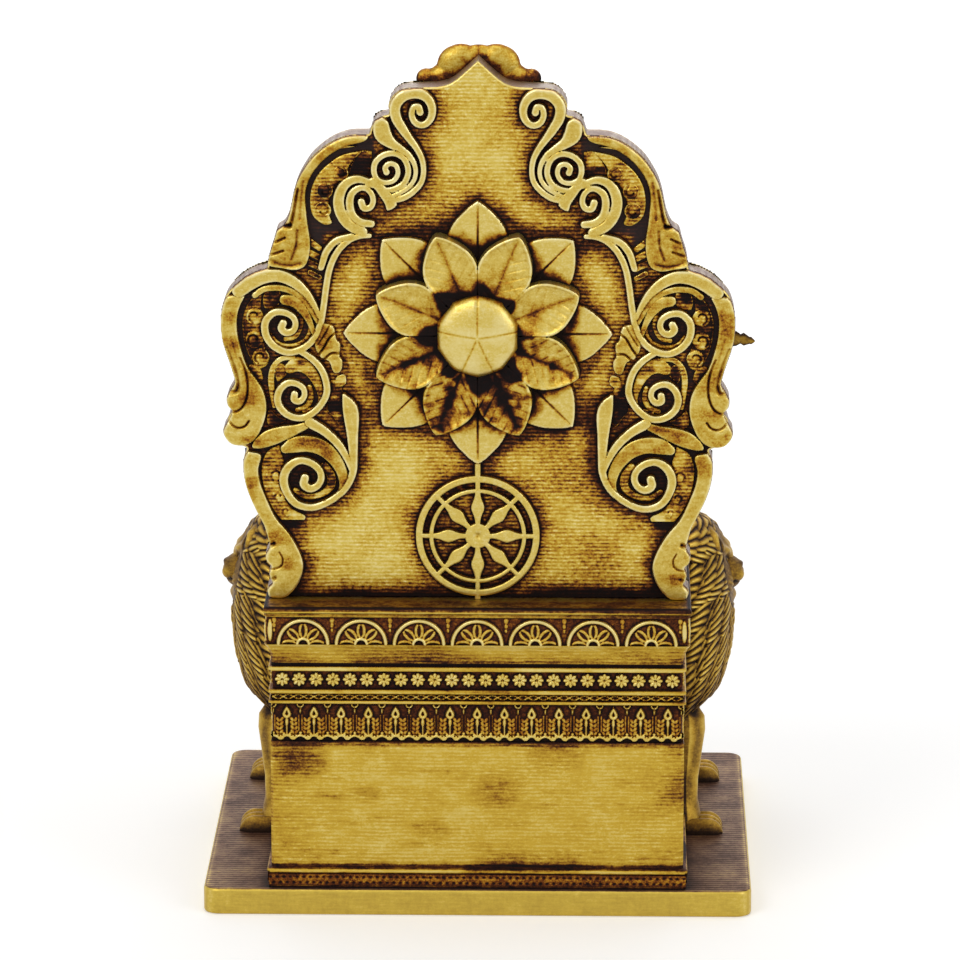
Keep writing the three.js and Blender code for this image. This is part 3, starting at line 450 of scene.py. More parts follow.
@dataclass
class Cavities:
    """Painted shade of hollows, over the dark patina they hold, and a painted highlight on
    raised edges, from a height grid over x and z.

    tone = 1 - tight * relu(blur(h, near) - h) - min(wide * relu(blur(h, far) - h), most)
             + edge_highlight * relu(h - blur(h, near))
    """

    x0: float
    z0: float
    step: float
    heights: Array
    near: float = 0.30
    far: float = 1.9
    tight: float = 2.0
    wide: float = 1.9
    most: float = 0.60
    edge_highlight: float = 0.55

    def __post_init__(self) -> None:
        """Blurs the heights by both reaches."""
        self.grids = [blur(self.heights, s / self.step) for s in (self.near, self.far)]

    def above(self, grid: Array, x: Array, z: Array, h: Array) -> Array:
        """How far the grid's value at points in mm, worked out bilinearly, is above h."""
        u = np.clip((x - self.x0) / self.step, 0, grid.shape[0] - 1.001)
        v = np.clip((z - self.z0) / self.step, 0, grid.shape[1] - 1.001)
        i, j = u.astype(int), v.astype(int)
        fu, fv = u - i, v - j
        low = grid[i, j] * (1 - fu) + grid[i + 1, j] * fu
        high = grid[i, j + 1] * (1 - fu) + grid[i + 1, j + 1] * fu
        return low * (1 - fv) + high * fv - h

    def wear_and_shade(self, x: Array, z: Array, h: Array) -> Array:
        """Brightness of the metal: 0 in deep hollows, as patina with painted shade, 1 where rubbed, and
        more on edges as a painted highlight.
        """
        near, far = (self.above(grid, x, z, h) for grid in self.grids)
        ragged = 0.55 + 0.9 * mottle(x, z, 3.2, 2.0, 71)
        # painted shade of the hollows, over their patina
        dark = self.tight * np.maximum(near, 0)
        dark = dark + np.minimum(self.wide * np.maximum(far, 0) * ragged, self.most)
        # painted highlight on raised edges
        bright = self.edge_highlight * np.maximum(-near - 0.06, 0)
        return np.clip(1.0 - dark + np.where(dark > 0.1, 0, bright), 0.0, TOP_TONE)


# Finishes


class Nodes:
    """A node tree, with short ways to add nodes and to join them."""

    def __init__(self, tree: bpy.types.NodeTree) -> None:
        """Keeps the tree."""
        self.tree = tree

    def feed(self, socket: bpy.types.NodeSocket, value: object) -> None:
        """Joins a socket to the socket that feeds it, or sets its value."""
        if isinstance(value, bpy.types.NodeSocket):
            self.tree.links.new(value, socket)
        else:
            socket.default_value = value

    def add(self, kind: str, inputs: Optional[dict] = None, **settings: object) -> bpy.types.Node:
        """Adds a shader node.

        Args:
            kind: its type, without the leading ShaderNode.
            inputs: for each input, by name or number, a value or the socket that feeds it.
            settings: its properties.

        Returns:
            The node.
        """
        node = self.tree.nodes.new(f"ShaderNode{kind}")
        for key, value in settings.items():
            setattr(node, key, value)
        for key, value in (inputs or {}).items():
            self.feed(node.inputs[key], value)
        return node

    def maths(self, kind: str, *terms: object) -> bpy.types.NodeSocket:
        """Result of a Math node on sockets and numbers."""
        return self.add("Math", dict(enumerate(terms)), operation=kind).outputs[0]

    def total(self, *terms: object) -> bpy.types.NodeSocket:
        """Sum of sockets and numbers, from the left."""
        start, *others = terms
        for term in others:
            start = self.maths("ADD", start, term)
        return start

    def times(self, *terms: object) -> bpy.types.NodeSocket:
        """Product of sockets and numbers, from the left."""
        start, *others = terms
        for term in others:
            start = self.maths("MULTIPLY", start, term)
        return start


@dataclass(frozen=True)
class Finish:
    """An antiqued brass: colours from hollow to rubbed, and how strong its texture is.

    `stops` are rows of tone, which is wear with painted shade and highlights, and of the red,
    green and blue there, in thousandths; the stops above 1.0 are the pale colours of painted
    highlights.
    """

    name: str
    # stops above 1.0 are the pale colours of painted highlights
    stops: tuple = (
        (0.00, 9, 6, 6), (0.16, 40, 12, 7), (0.36, 150, 46, 12), (0.54, 345, 150, 18),
        (0.76, 480, 290, 28), (1.00, 610, 450, 88), (1.25, 760, 660, 300),
    )
    rim: tuple = (190, 134, 127)
    rough_low: float = 0.34
    rough_high: float = 0.62
    ridge: float = 0.10
    ridge_pitch: float = 0.70
    ridge_axis: int = 2
    grain: float = 0.14
    burn: float = 0.45
    streak: float = 0.25
    bump: float = 0.14
    gloss: float = 0.09
    metal_low: float = 0.40
    metal_high: float = 0.95

    def build(self) -> bpy.types.Material:
        """Makes the node material.

        tone = w + noise * (0.22 + 3.4 w (1.08 - w)), with w the vertex value of wear, painted
        shade and painted highlights, so between hollow and rubbed the patina is uneven and at
        both ends it is even. The tone drives colour, roughness and metal; grain, burns and drawn
        ridges make the bump.

        Returns:
            The material, which reads the vertex attributes of wear with painted shade and highlights, and
            `rim`.
        """
        mat = bpy.data.materials.new(self.name)
        mat.use_nodes = True
        mat.node_tree.nodes.clear()
        nodes = Nodes(mat.node_tree)
        maths, total, times = nodes.maths, nodes.total, nodes.times
        place = nodes.add("TexCoord").outputs["Object"]
        in_mm = nodes.add("VectorMath", {0: place, "Scale": 1 / MM}, operation="SCALE").outputs[0]

        def noise(stretch: tuple, detail: float, rough: float = 0.5) -> bpy.types.NodeSocket:
            """Noise in 0..1 at places stretched along the axes."""
            moved = nodes.add("VectorMath", {0: in_mm, 1: stretch}, operation="MULTIPLY").outputs[0]
            look = {"Vector": moved, "Scale": 1.0, "Detail": detail, "Roughness": rough}
            return nodes.add("TexNoise", look).outputs["Fac"]

        def swing(socket: bpy.types.NodeSocket, amount: float) -> bpy.types.NodeSocket:
            """(socket - 0.5) * amount."""
            return times(maths("SUBTRACT", socket, 0.5), amount)

        def attribute(name: str) -> bpy.types.NodeSocket:
            """A value kept on the vertices."""
            return nodes.add("Attribute", attribute_name=name).outputs["Fac"]

        # this vertex value holds wear together with painted shade and painted highlights
        wear_and_shade = attribute("wear_and_shade")
        grain = noise((3.4, 3.4, 3.4), 2)
        burn = noise((1.15, 1.15, 1.5), 4, 0.7)
        streaks = noise((0.25, 2.4 if self.ridge_axis == 1 else 0.25, 2.4), 3, 0.6)
        clouds = noise((0.2, 0.2, 0.2), 2)
        dashes = noise((1.4, 1.4, 0.5), 1)
        along = nodes.add("SeparateXYZ", {0: in_mm}).outputs[self.ridge_axis]
        run = total(along, times(clouds, 0.5))
        wave = maths("SINE", times(run, 2 * math.pi / self.ridge_pitch))
        ridge = times(wave, times(dashes, 2.0))
        spread = maths("MAXIMUM", times(wear_and_shade, maths("SUBTRACT", 1.08, wear_and_shade)), 0.0)
        spread = total(times(spread, 3.4), 0.22)
        shift = total(
            swing(grain, self.grain * 2), swing(burn, self.burn * 2), swing(streaks, self.streak * 2),
            swing(clouds, self.streak * 1.2), times(ridge, self.ridge),
        )
        tone = total(wear_and_shade, times(shift, spread))

        ramp = nodes.add("ValToRGB", {0: times(tone, 1 / TOP_TONE)})
        stops = ramp.color_ramp.elements
        while len(stops) < len(self.stops):
            stops.new(0.5)
        for stop, (position, *colour) in zip(stops, self.stops):
            stop.position = position / TOP_TONE
            stop.color = (*(c / 1000 for c in colour), 1.0)
        rim = (*(c / 1000 for c in self.rim), 1.0)
        sides = {0: attribute("rim"), 6: ramp.outputs[0], 7: rim}
        colour = nodes.add("Mix", sides, data_type="RGBA").outputs[2]
        lift = times(maths("SUBTRACT", 1.0, tone), self.rough_high - self.rough_low)
        metal = {0: tone, 1: 0.0, 2: 0.6, 3: self.metal_low, 4: self.metal_high}
        height = total(times(grain, 0.7), times(burn, 0.5), times(ridge, self.ridge))
        bump = nodes.add("Bump", {"Strength": self.bump, "Distance": 0.3 * MM, "Height": height})
        shader = nodes.add("BsdfPrincipled", {
            "Base Color": colour,
            "Specular IOR Level": self.gloss,
            "Roughness": total(self.rough_low, lift, times(grain, 0.08)),
            "Metallic": nodes.add("MapRange", metal).outputs[0],
            "Normal": bump.outputs[0],
        })
        nodes.add("OutputMaterial", {0: shader.outputs[0]})
        return mat


# In each finish below, the stops above 1.0 are the pale colours of painted highlights.
CARVED = Finish(
    "brass_carved",
    stops=(
        (0.00, 9, 6, 6), (0.16, 40, 12, 7), (0.36, 150, 42, 10), (0.54, 350, 150, 14),
        (0.76, 470, 300, 36), (1.00, 600, 455, 108), (1.25, 780, 690, 360),
    ),
    ridge=0.02, grain=0.26, streak=0.10, burn=0.42,
)
FIELD = Finish("brass_field", ridge=0.15, grain=0.26, streak=0.24, burn=0.70)
PANEL = Finish(
    "brass_panel",
    stops=(
        (0.00, 9, 6, 6), (0.16, 34, 11, 7), (0.36, 110, 36, 10), (0.54, 270, 125, 16),
        (0.76, 420, 250, 26), (1.00, 540, 360, 45), (1.25, 700, 580, 200),
    ),
    ridge=0.10, grain=0.20, streak=0.42, burn=0.40,
)
PLATE_TOP = Finish(
    "brass_plate",
    stops=(
        (0.00, 12, 8, 8), (0.25, 92, 43, 28), (0.42, 185, 100, 56), (0.60, 250, 150, 60),
        (0.80, 420, 290, 50), (1.00, 560, 400, 66), (1.25, 760, 620, 220),
    ),
    ridge=0.12, ridge_axis=1, ridge_pitch=1.25, streak=0.25, burn=0.25,
)
AGED = Finish(
    "brass_lion",
    stops=(
        (0.00, 10, 7, 6), (0.25, 40, 22, 14), (0.50, 165, 85, 16), (0.78, 370, 220, 30),
        (1.00, 520, 350, 62), (1.25, 680, 540, 170),
    ),
    ridge=0.0, streak=0.10, burn=0.25,
)
STEEL = Finish(
    "plain_steel", stops=((0.0, 50, 50, 50), (1.25, 450, 460, 470)), ridge=0.0, streak=0.05,
)


# Mesh making


@dataclass
class Surface:
    """Points in mm with faces of four corners, and two values for each point."""

    points: Array
    faces: Array
    # brightness of each point: wear with painted shade and painted highlights
    wear_and_shade: Array
    rim: Array

    @staticmethod
    def grid(
        points: Array, wear_and_shade: Array, rim: Optional[Array] = None, keep: Optional[Array] = None
    ) -> "Surface":
        """Quads over a grid of points, shape (rows, columns, 3).

        Args:
            points: grid of points in mm.
            wear_and_shade: brightness for each point, wear with painted shade and highlights, shape (rows,
                columns).
            rim: share of the rim's colour for each point, 0 if left out.
            keep: for each cell, whether it is kept.

        Returns:
            The surface, without unused points.
        """
        rows, cols = points.shape[:2]
        index = np.arange(rows * cols).reshape(rows, cols)
        corners = index[:-1, :-1], index[1:, :-1], index[1:, 1:], index[:-1, 1:]
        faces = np.stack(corners, axis=-1).reshape(-1, 4)
        if keep is not None:
            faces = faces[keep.reshape(-1)]
        used = np.unique(faces)
        renumber = np.zeros(rows * cols, int)
        renumber[used] = np.arange(len(used))
        values = [v.reshape(-1)[used] for v in (wear_and_shade, np.zeros(wear_and_shade.shape) if rim is None else rim)]
        return Surface(points.reshape(-1, 3)[used], renumber[faces], *values)

    def facing(self, outward: Array) -> "Surface":
        """Turns all faces over if most face against outward, one direction or one for each."""
        p = self.points[self.faces]
        normal = np.cross(p[:, 2] - p[:, 0], p[:, 3] - p[:, 1])
        if (normal * outward).sum() > 0:
            return self
        return Surface(self.points, self.faces[:, ::-1], self.wear_and_shade, self.rim)

    def around(self, *middle: float) -> "Surface":
        """Turns all faces to look away from a point in mm that they enclose."""
        return self.facing(self.points[self.faces].mean(axis=1) - np.array(middle))


def joined(surfaces: Sequence[Surface]) -> Surface:
    """Several surfaces as one.

    Args:
        surfaces: surfaces with quads.

    Returns:
        One surface that holds them all.
    """
    starts = np.cumsum([0] + [len(s.points) for s in surfaces])
    faces = np.vstack([s.faces + start for s, start in zip(surfaces, starts)])
    points, wear_and_shade, rim = (
        np.concatenate([getattr(s, key) for s in surfaces]) for key in ("points", "wear_and_shade", "rim")
    )
    return Surface(points, faces, wear_and_shade, rim)


class Workshop:
    """Makes pieces from surfaces and hangs them on the frame."""

    def __init__(self, frame: dict) -> None:
        """Keeps the frame."""
        self.frame = frame
        self.materials: dict[str, bpy.types.Material] = {}

    def material(self, finish: Finish) -> bpy.types.Material:
        """The finish's material, made once."""
        if finish.name not in self.materials:
            self.materials[finish.name] = finish.build()
        return self.materials[finish.name]

    def add(
        self, name: str, surface: Surface, finish: Finish, node: str = "", sharp: float = 50.0
    ) -> None:
        """Makes one piece, in metres, that rides on the only body.

        Args:
            name: name of the piece.
            surface: its points and faces in mm.
            finish: its brass.
            node: CAD node that it stands for, if it has one.
            sharp: edges sharper than this many degrees stay sharp.
        """
        mesh = bpy.data.meshes.new(name)
        count = len(surface.faces)
        mesh.vertices.add(len(surface.points))
        mesh.vertices.foreach_set("co", (surface.points * MM).astype(np.float32).ravel())
        mesh.loops.add(count * 4)
        mesh.loops.foreach_set("vertex_index", surface.faces.astype(np.int32).ravel())
        mesh.polygons.add(count)
        mesh.polygons.foreach_set("loop_start", np.arange(0, count * 4, 4, dtype=np.int32))
        mesh.polygons.foreach_set("loop_total", np.full(count, 4, dtype=np.int32))
        mesh.update(calc_edges=True)
        mesh.validate()
        for key in ("wear_and_shade", "rim"):
            layer = mesh.attributes.new(key, "FLOAT", "POINT")
            layer.data.foreach_set("value", getattr(surface, key).astype(np.float32))
        mesh.polygons.foreach_set("use_smooth", np.ones(len(mesh.polygons), bool))
        mesh.set_sharp_from_angle(angle=math.radians(sharp))
        obj = bpy.data.objects.new(name, mesh)
        bpy.context.scene.collection.objects.link(obj)
        mesh.materials.append(self.material(finish))
        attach(obj, "root")
        if node:
            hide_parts(node)
        log.info("%s: %d faces", name, count)


# Carved patches


@dataclass
class Patch:
    """A carved piece over a rectangle of a face, as a height field.

    The grid's points next to the outline are moved onto it along the gradient of the
    signed distance, so the walls are crisp.  Points outside lie `sink` below the face.
    """

    relief: Relief
    box: tuple
    step: float = 0.15
    sink: float = 0.25

    def grid(self) -> tuple[Array, Array, Array, Array]:
        """Grid of x, z, inside distance and height, after the points were moved."""
        x0, x1, z0, z1 = self.box
        xs = np.arange(x0, x1 + self.step, self.step)
        zs = np.arange(z0, z1 + self.step, self.step)
        x, z = np.meshgrid(xs, zs, indexing="ij")
        s, _ = self.relief.at(x, z)
        gx, gz = np.gradient(s, self.step)
        size = np.maximum(np.hypot(gx, gz), 0.3)
        near = np.abs(s) < 0.62 * self.step
        x = np.where(near, x - s * gx / size**2, x)
        z = np.where(near, z - s * gz / size**2, z)
        s, h = self.relief.at(x, z)
        edge_h = self.relief.at(x + gx / size * 0.04, z + gz / size * 0.04)[1]
        h = np.where(near, np.maximum(h, edge_h), h)
        return x, z, np.where(near, 0.0, s), h

    def surface(self, place: Field, tone: Field) -> Surface:
        """The carved surface.

        Args:
            place: turns x, z, height into points, shape (..., 3).
            tone: wear with painted shade and highlights, from x, z, height.

        Returns:
            The surface, walls included.
        """
        x, z, s, h = self.grid()
        on = s >= 0.0
        wear_and_shade = tone(x, z, np.where(on, h, 0.0))
        points = place(x, z, np.where(on, h, -self.sink))
        any_on = on[:-1, :-1] | on[1:, :-1] | on[1:, 1:] | on[:-1, 1:]
        return Surface.grid(points, wear_and_shade, keep=any_on)


def back_place(y: float) -> Field:
    """Places a height field on a face that looks towards -Y at depth y."""
    return lambda x, z, h: np.stack([x, y - h, z], axis=-1)


def front_place(y: float) -> Field:
    """Places a height field on a face that looks towards +Y; x runs the other way."""
    return lambda x, z, h: np.stack([-x, y + h, z], axis=-1)


def side_place(x_face: float, side: int) -> Field:
    """Places a height field on a side face; x becomes a run along Y about the box."""
    return lambda x, z, h: np.stack([side * (x_face + h), S.box_y + side * x, z], axis=-1)


def axis_of(x: Array, z: Array, count: int, start: float = 0.0) -> tuple[Array, Array, Array, Array]:
    """Coordinates about the nearest of `count` axes that run out from the origin.

    With r and a the polar coordinates and m the nearest axis' angle, along = r cos(a - m)
    and across = r sin(a - m).

    Args:
        x: first coordinates.
        z: second coordinates.
        count: number of axes in the whole turn.
        start: angle of the first axis in radians.

    Returns:
        along, across, m and r.
    """
    r, a = np.hypot(x, z), np.arctan2(z, x)
    pitch = 2 * math.pi / count
    axis = np.round((a - start) / pitch) * pitch + start
    return r * np.cos(a - axis), r * np.sin(a - axis), axis, r


# Backrest carvings

# A point is thousandths of the backrest's half width and height, on the right side. Its
# third number is a width, in hundredths of a band's.
OUTLINE = [
    (800, 0), (823, 4), (828, 17), (809, 27), (815, 34), (821, 47), (813, 61), (830, 69), (834, 81),
    (819, 96), (826, 116), (840, 138), (866, 162), (894, 190), (913, 220), (919, 248), (915, 265),
    (904, 281), (928, 286), (962, 289), (987, 300), (996, 315), (981, 329), (974, 340), (962, 351),
    (977, 361), (981, 375), (968, 389), (949, 405), (957, 424), (972, 447), (987, 468), (998, 492),
    (1000, 518), (998, 536), (989, 554), (974, 570), (945, 585), (904, 601), (862, 611), (821, 617),
    (809, 643), (791, 669), (779, 688), (753, 697), (734, 715), (723, 735), (713, 758), (698, 780),
    (674, 801), (643, 822), (606, 838), (562, 852), (515, 861), (472, 864), (423, 864.5), (411, 878),
    (396, 891), (368, 898), (343, 902), (345, 918), (328, 935), (294, 947), (243, 950), (209, 950.5),
    (179, 951), (149, 952), (111, 957), (81, 966), (51, 978), (21, 991), (0, 1000),
]

BANDS = {
    "volute": [
        (326, 747, 62), (287, 751, 62), (247, 763, 60), (219, 779, 56), (209, 798, 52), (215, 822, 56),
        (236, 842, 62), (262, 859, 75), (289, 877, 94), (315, 899, 106), (317, 919, 106), (289, 936, 106),
        (243, 942, 100), (200, 936, 94), (176, 917, 82), (182, 896, 72), (208, 885, 66), (238, 888, 64),
        (254, 903, 60), (246, 917, 58), (228, 918, 60), (222, 908, 72),
    ],
    "knob": [
        (345, 751, 44), (294, 762, 44), (264, 772, 44), (245, 785, 44), (239, 800, 44), (247, 816, 50),
        (268, 830, 62), (298, 841, 75), (336, 852, 112), (366, 868, 175), (372, 882, 162),
    ],
    "curl": [
        (362, 764, 58), (323, 767, 58), (285, 778, 58), (268, 798, 58), (280, 820, 58), (315, 832, 58),
        (360, 830, 58), (395, 816, 58), (400, 797, 56), (386, 784, 52), (356, 779, 50), (324, 783, 48),
        (308, 796, 48), (315, 810, 48), (338, 814, 50), (357, 807, 54), (352, 798, 62),
    ],
    "outer_hook": [
        (445, 688, 95), (490, 698, 105), (522, 715, 112), (538, 740, 112), (530, 762, 105), (505, 778, 92),
        (465, 785, 78), (425, 781, 60),
    ],
    "inner_hook": [
        (412, 703, 72), (453, 706, 78), (483, 718, 78), (495, 740, 78), (488, 757, 72), (466, 767, 64),
        (438, 769, 56), (413, 760, 54), (404, 745, 56), (416, 733, 60), (440, 732, 66), (450, 743, 72),
    ],
    "long_stem": [
        (419, 681, 45), (457, 680, 55), (496, 673, 61), (541, 653, 64), (572, 623, 64), (587, 589, 64),
        (599, 548, 64), (611, 518, 64), (634, 492, 66), (678, 472, 68), (738, 464, 70), (794, 476, 73),
        (824, 497, 75), (824, 522, 75), (789, 538, 70), (749, 538, 66), (717, 529, 61), (708, 516, 60),
        (720, 504, 66), (746, 501, 74), (763, 509, 78), (756, 518, 74),
    ],
    "bud_stem": [
        (488, 680, 59), (548, 671, 68), (585, 652, 70), (607, 622, 60),
    ],
    "arch_leaf": [
        (926, 579, 150), (881, 593, 145), (827, 604, 136), (772, 606, 125), (722, 597, 114),
        (680, 581, 95), (647, 561, 73), (613, 529, 45),
    ],
    "inner_arch": [
        (866, 569, 57), (833, 580, 59), (795, 583, 59), (757, 582, 59), (719, 576, 59), (684, 565, 57),
        (657, 549, 52), (620, 519, 41),
    ],
    "fat_leaf": [
        (750, 561, 102), (715, 558, 114), (682, 544, 95), (657, 524, 64), (636, 497, 41),
    ],
    "lower_mid": [
        (697, 468, 57), (662, 458, 64), (631, 446, 68), (606, 430, 68), (591, 410, 68), (588, 390, 68),
        (605, 371, 68), (638, 353, 68), (681, 342, 68), (726, 344, 70), (765, 357, 73), (781, 377, 73),
        (768, 396, 70), (737, 407, 68), (702, 405, 61), (679, 396, 57), (676, 383, 58), (694, 373, 66),
        (715, 376, 72), (714, 386, 70),
    ],
    "blade": [
        (521, 384, 34), (497, 358, 155), (489, 309, 114), (486, 272, 86), (488, 240, 73), (519, 209, 70),
        (580, 185, 68), (651, 173, 73), (713, 181, 75), (750, 205, 82), (759, 229, 89), (740, 249, 86),
        (700, 261, 75), (655, 258, 73), (620, 244, 68), (612, 229, 68), (628, 214, 70), (656, 209, 80),
        (680, 217, 86), (676, 229, 82),
    ],
    "second_blade": [
        (655, 333, 110), (596, 316, 91), (542, 291, 82), (511, 266, 64), (493, 243, 41),
    ],
    "inner_band": [
        (752, 283, 95), (715, 290, 162), (660, 292, 168), (602, 283, 162), (556, 262, 135),
        (530, 237, 105), (526, 212, 80), (548, 193, 55), (598, 184, 40),
    ],
    "leaf_arch": [
        (872, 288, 50), (850, 294, 120), (812, 303, 170), (765, 311, 155), (705, 320, 95), (664, 328, 70),
    ],
}

LEAVES = {
    "clasp": [
        (438, 769), (430, 781), (398, 788), (366, 775), (340, 762), (313, 738), (349, 728), (357, 739),
        (379, 755), (402, 769),
    ],
    "tuft": [
        (605, 518), (563, 512), (551, 488), (536, 480), (539, 456), (528, 448), (536, 428), (559, 426),
        (578, 447), (609, 454), (632, 475), (625, 493),
    ],
    "shoulder": [
        (423, 862), (472, 862), (515, 859), (560, 850), (604, 836), (640, 820), (670, 801), (694, 780),
        (709, 758), (719, 735), (730, 714), (751, 696), (777, 687), (787, 671), (804, 649), (815, 627),
        (762, 620), (706, 617), (672, 624), (655, 643), (651, 671), (660, 701), (666, 728), (668, 760),
        (643, 792), (585, 824), (515, 844), (436, 855),
    ],
    "crescent": [
        (449, 835), (487, 832), (530, 826), (574, 812), (613, 794), (638, 772), (647, 752), (647, 733),
        (638, 717), (619, 707), (591, 700), (566, 703), (576, 717), (579, 739), (566, 760), (545, 777),
        (515, 789), (498, 809),
    ],
    "wing": [
        (906, 567), (970, 566), (987, 552), (996, 536), (998, 518), (996, 493), (983, 468), (968, 447),
        (953, 424), (945, 405), (964, 389), (977, 375), (973, 363), (957, 352), (977, 329), (991, 315),
        (983, 302), (962, 292), (928, 289), (898, 292), (872, 301), (851, 316), (830, 343), (826, 366),
        (836, 389), (862, 411), (891, 429), (906, 444), (919, 463), (932, 486), (938, 509), (936, 532),
        (923, 552),
    ],
    "foot": [
        (896, 277), (912, 263), (915, 248), (909, 220), (889, 190), (862, 162), (836, 138), (822, 116),
        (814, 96), (830, 81), (826, 70), (808, 61), (817, 47), (804, 28), (824, 16), (819, 4), (796, 2),
        (757, 3), (715, 22), (691, 47), (687, 67), (704, 92), (745, 125), (791, 151), (830, 190),
        (853, 219), (860, 245), (849, 271),
    ],
}

SCROLLS = {
    "top_scroll": (("volute", "knob", "curl", "outer_hook", "inner_hook"), "clasp"),
    "mid_scroll": (
        ("long_stem", "bud_stem", "arch_leaf", "inner_arch", "fat_leaf", "lower_mid"),
        "tuft",
    ),
    "lower_scroll": (("blade", "second_blade", "inner_band", "leaf_arch"), None),
}
FRONT_SCROLLS = {
    "top_scroll": (("volute", "knob", "outer_hook"), "clasp"),
    "mid_scroll": (("long_stem", "arch_leaf", "lower_mid"), None),
    "lower_scroll": (("blade", "inner_band"), None),
}
LEAF_TOPS = {"shoulder": 1.3, "crescent": 0.8, "wing": 1.3, "foot": 1.3, "clasp": 1.55, "tuft": 1.2}

# creases of the leaves: path, then depth and width in mm
CREASES = {
    "wing": [
        ([(925, 452), (906, 430), (897, 405), (902, 378), (922, 359), (950, 352), (975, 357)], 0.5,
          0.24),
        ([(978, 470), (958, 445), (942, 422), (936, 402), (942, 391), (962, 388)], 0.75, 0.42),
        ([(893, 335), (910, 325), (935, 322), (958, 327), (972, 337)], 0.45, 0.22),
        ([(960, 490), (944, 462), (925, 435)], 0.25, 0.3),
    ],
    "foot": [
        ([(800, 104), (815, 101), (832, 99)], 0.85, 0.42),
        ([(778, 87), (766, 76), (770, 63), (790, 57), (816, 56)], 0.35, 0.18),
        ([(795, 39), (818, 32)], 0.5, 0.28),
    ],
    "shoulder": [
        ([(697, 765), (707, 738), (716, 715), (724, 700)], 0.6, 0.3),
        ([(730, 698), (748, 697)], 1.1, 0.42),
        ([(676, 780), (684, 745), (690, 712)], 0.3, 0.32),
        ([(700, 690), (705, 660), (724, 636)], 0.4, 0.34),
        ([(748, 676), (785, 668)], 0.5, 0.24),
        ([(755, 652), (800, 645)], 0.5, 0.24),
        ([(690, 628), (740, 624), (800, 632)], 0.6, 0.6),
    ],
    "tuft": [
        ([(552, 500), (575, 492), (600, 472), (622, 458)], 0.55, 0.2),
        ([(540, 462), (570, 462), (600, 450)], 0.55, 0.2),
        ([(570, 520), (592, 500), (622, 478)], 0.3, 0.16),
    ],
}

# how far up the shoulder leaf's outer edge and slope start, and the slope's drop and run in mm
SHOULDER_EDGE_SHARE, SHOULDER_SLOPE_SHARE = 0.69, 0.715
SHOULDER_SLOPE = (0.85, 3.2)
# a band's width at its foot, against the width that shows
BAND_FOOT = 1.08

# amber of the bands and leaves that are less rubbed
AMBER = {
    "inner_band": 0.13, "leaf_arch": 0.10, "inner_arch": 0.20, "fat_leaf": 0.16,
    "crescent": 0.20, "shoulder": 0.12, "foot": 0.03, "wing": 0.06, "tuft": 0.05,
}
# shallow carving between the scrolls: curls as (across, up, radius, turn)
CURLS = [
    (530, 795, 1.35, 1.2), (592, 763, 1.45, 1.9), (600, 727, 1.5, 1.7), (868, 529, 1.55, 4.9),
    (870, 486, 1.6, 5.3), (846, 453, 1.55, 5.0), (786, 232, 1.55, 5.2), (780, 192, 1.15, 5.0),
    (752, 163, 1.05, 4.8),
]
# amber, then the path
FILL_BANDS = [
    (0.2, [(650, 520, 30), (655, 500, 34), (672, 486, 34), (700, 478, 34), (740, 475, 34),
           (778, 480, 32), (803, 494, 28)]),
    (0.34, [(732, 433, 110), (703, 440, 155), (668, 434, 135), (638, 417, 105), (618, 394, 70),
            (614, 374, 40), (632, 360, 32), (680, 352, 28)]),
    (0.26, [(715, 452, 35), (765, 450, 50), (795, 436, 55), (806, 414, 60), (803, 390, 55),
            (795, 362, 40)]),
    (0.55, [(615, 656, 55), (655, 670, 60)]),
    (0.5, [(612, 638, 60), (662, 650, 65)]),
    (0.55, [(612, 620, 60), (660, 630, 60)]),
    (0.5, [(614, 602, 45), (650, 611, 50)]),
    (0.42, [(590, 830, 28), (540, 841, 30), (470, 846, 28)]),
    (0.4, [(694, 540, 45), (690, 515, 55), (712, 492, 50), (748, 487, 42)]),
    (0.4, [(656, 398, 45), (652, 378, 55), (668, 362, 50), (705, 355, 40)]),
    (0.46, [(600, 250, 75), (575, 232, 85), (576, 212, 80), (612, 197, 62), (672, 192, 50),
            (715, 204, 45)]),
]
# height, amber, then the outline
FILL_LEAVES = [
    (0.45, 0.52, [(410, 834), (452, 834), (498, 792), (455, 788), (422, 793)]),
    (0.45, 0.32, [(838, 412), (850, 432), (890, 438), (880, 420), (856, 407)]),
    (0.4, 0.5, [(748, 420), (752, 436), (772, 441), (788, 428), (780, 408)]),
    (0.4, 0.56, [(772, 577), (826, 574), (828, 545), (785, 548), (764, 560)]),
    (0.45, 0.4, [(548, 418), (520, 421), (515, 405), (540, 398), (560, 404)]),
    (0.34, 0.48, [(842, 570), (875, 562), (900, 545), (914, 522), (913, 498), (902, 470), (884, 450),
                  (855, 432), (828, 436), (812, 452), (830, 470), (842, 495), (846, 530)]),
    (0.46, 0.16, [(777, 288), (822, 276), (843, 252), (842, 222), (826, 192), (798, 166), (765, 146),
                  (728, 134), (692, 142), (676, 154), (722, 166), (757, 186), (776, 212), (774, 240),
                  (760, 258), (770, 272)]),
    (0.34, 0.46, [(540, 408), (524, 380), (520, 345), (536, 325), (565, 342), (590, 356), (578, 382),
                  (572, 410)]),
    (0.34, 0.46, [(704, 338), (748, 334), (800, 322), (822, 330), (812, 356), (790, 345), (752, 336)]),
]
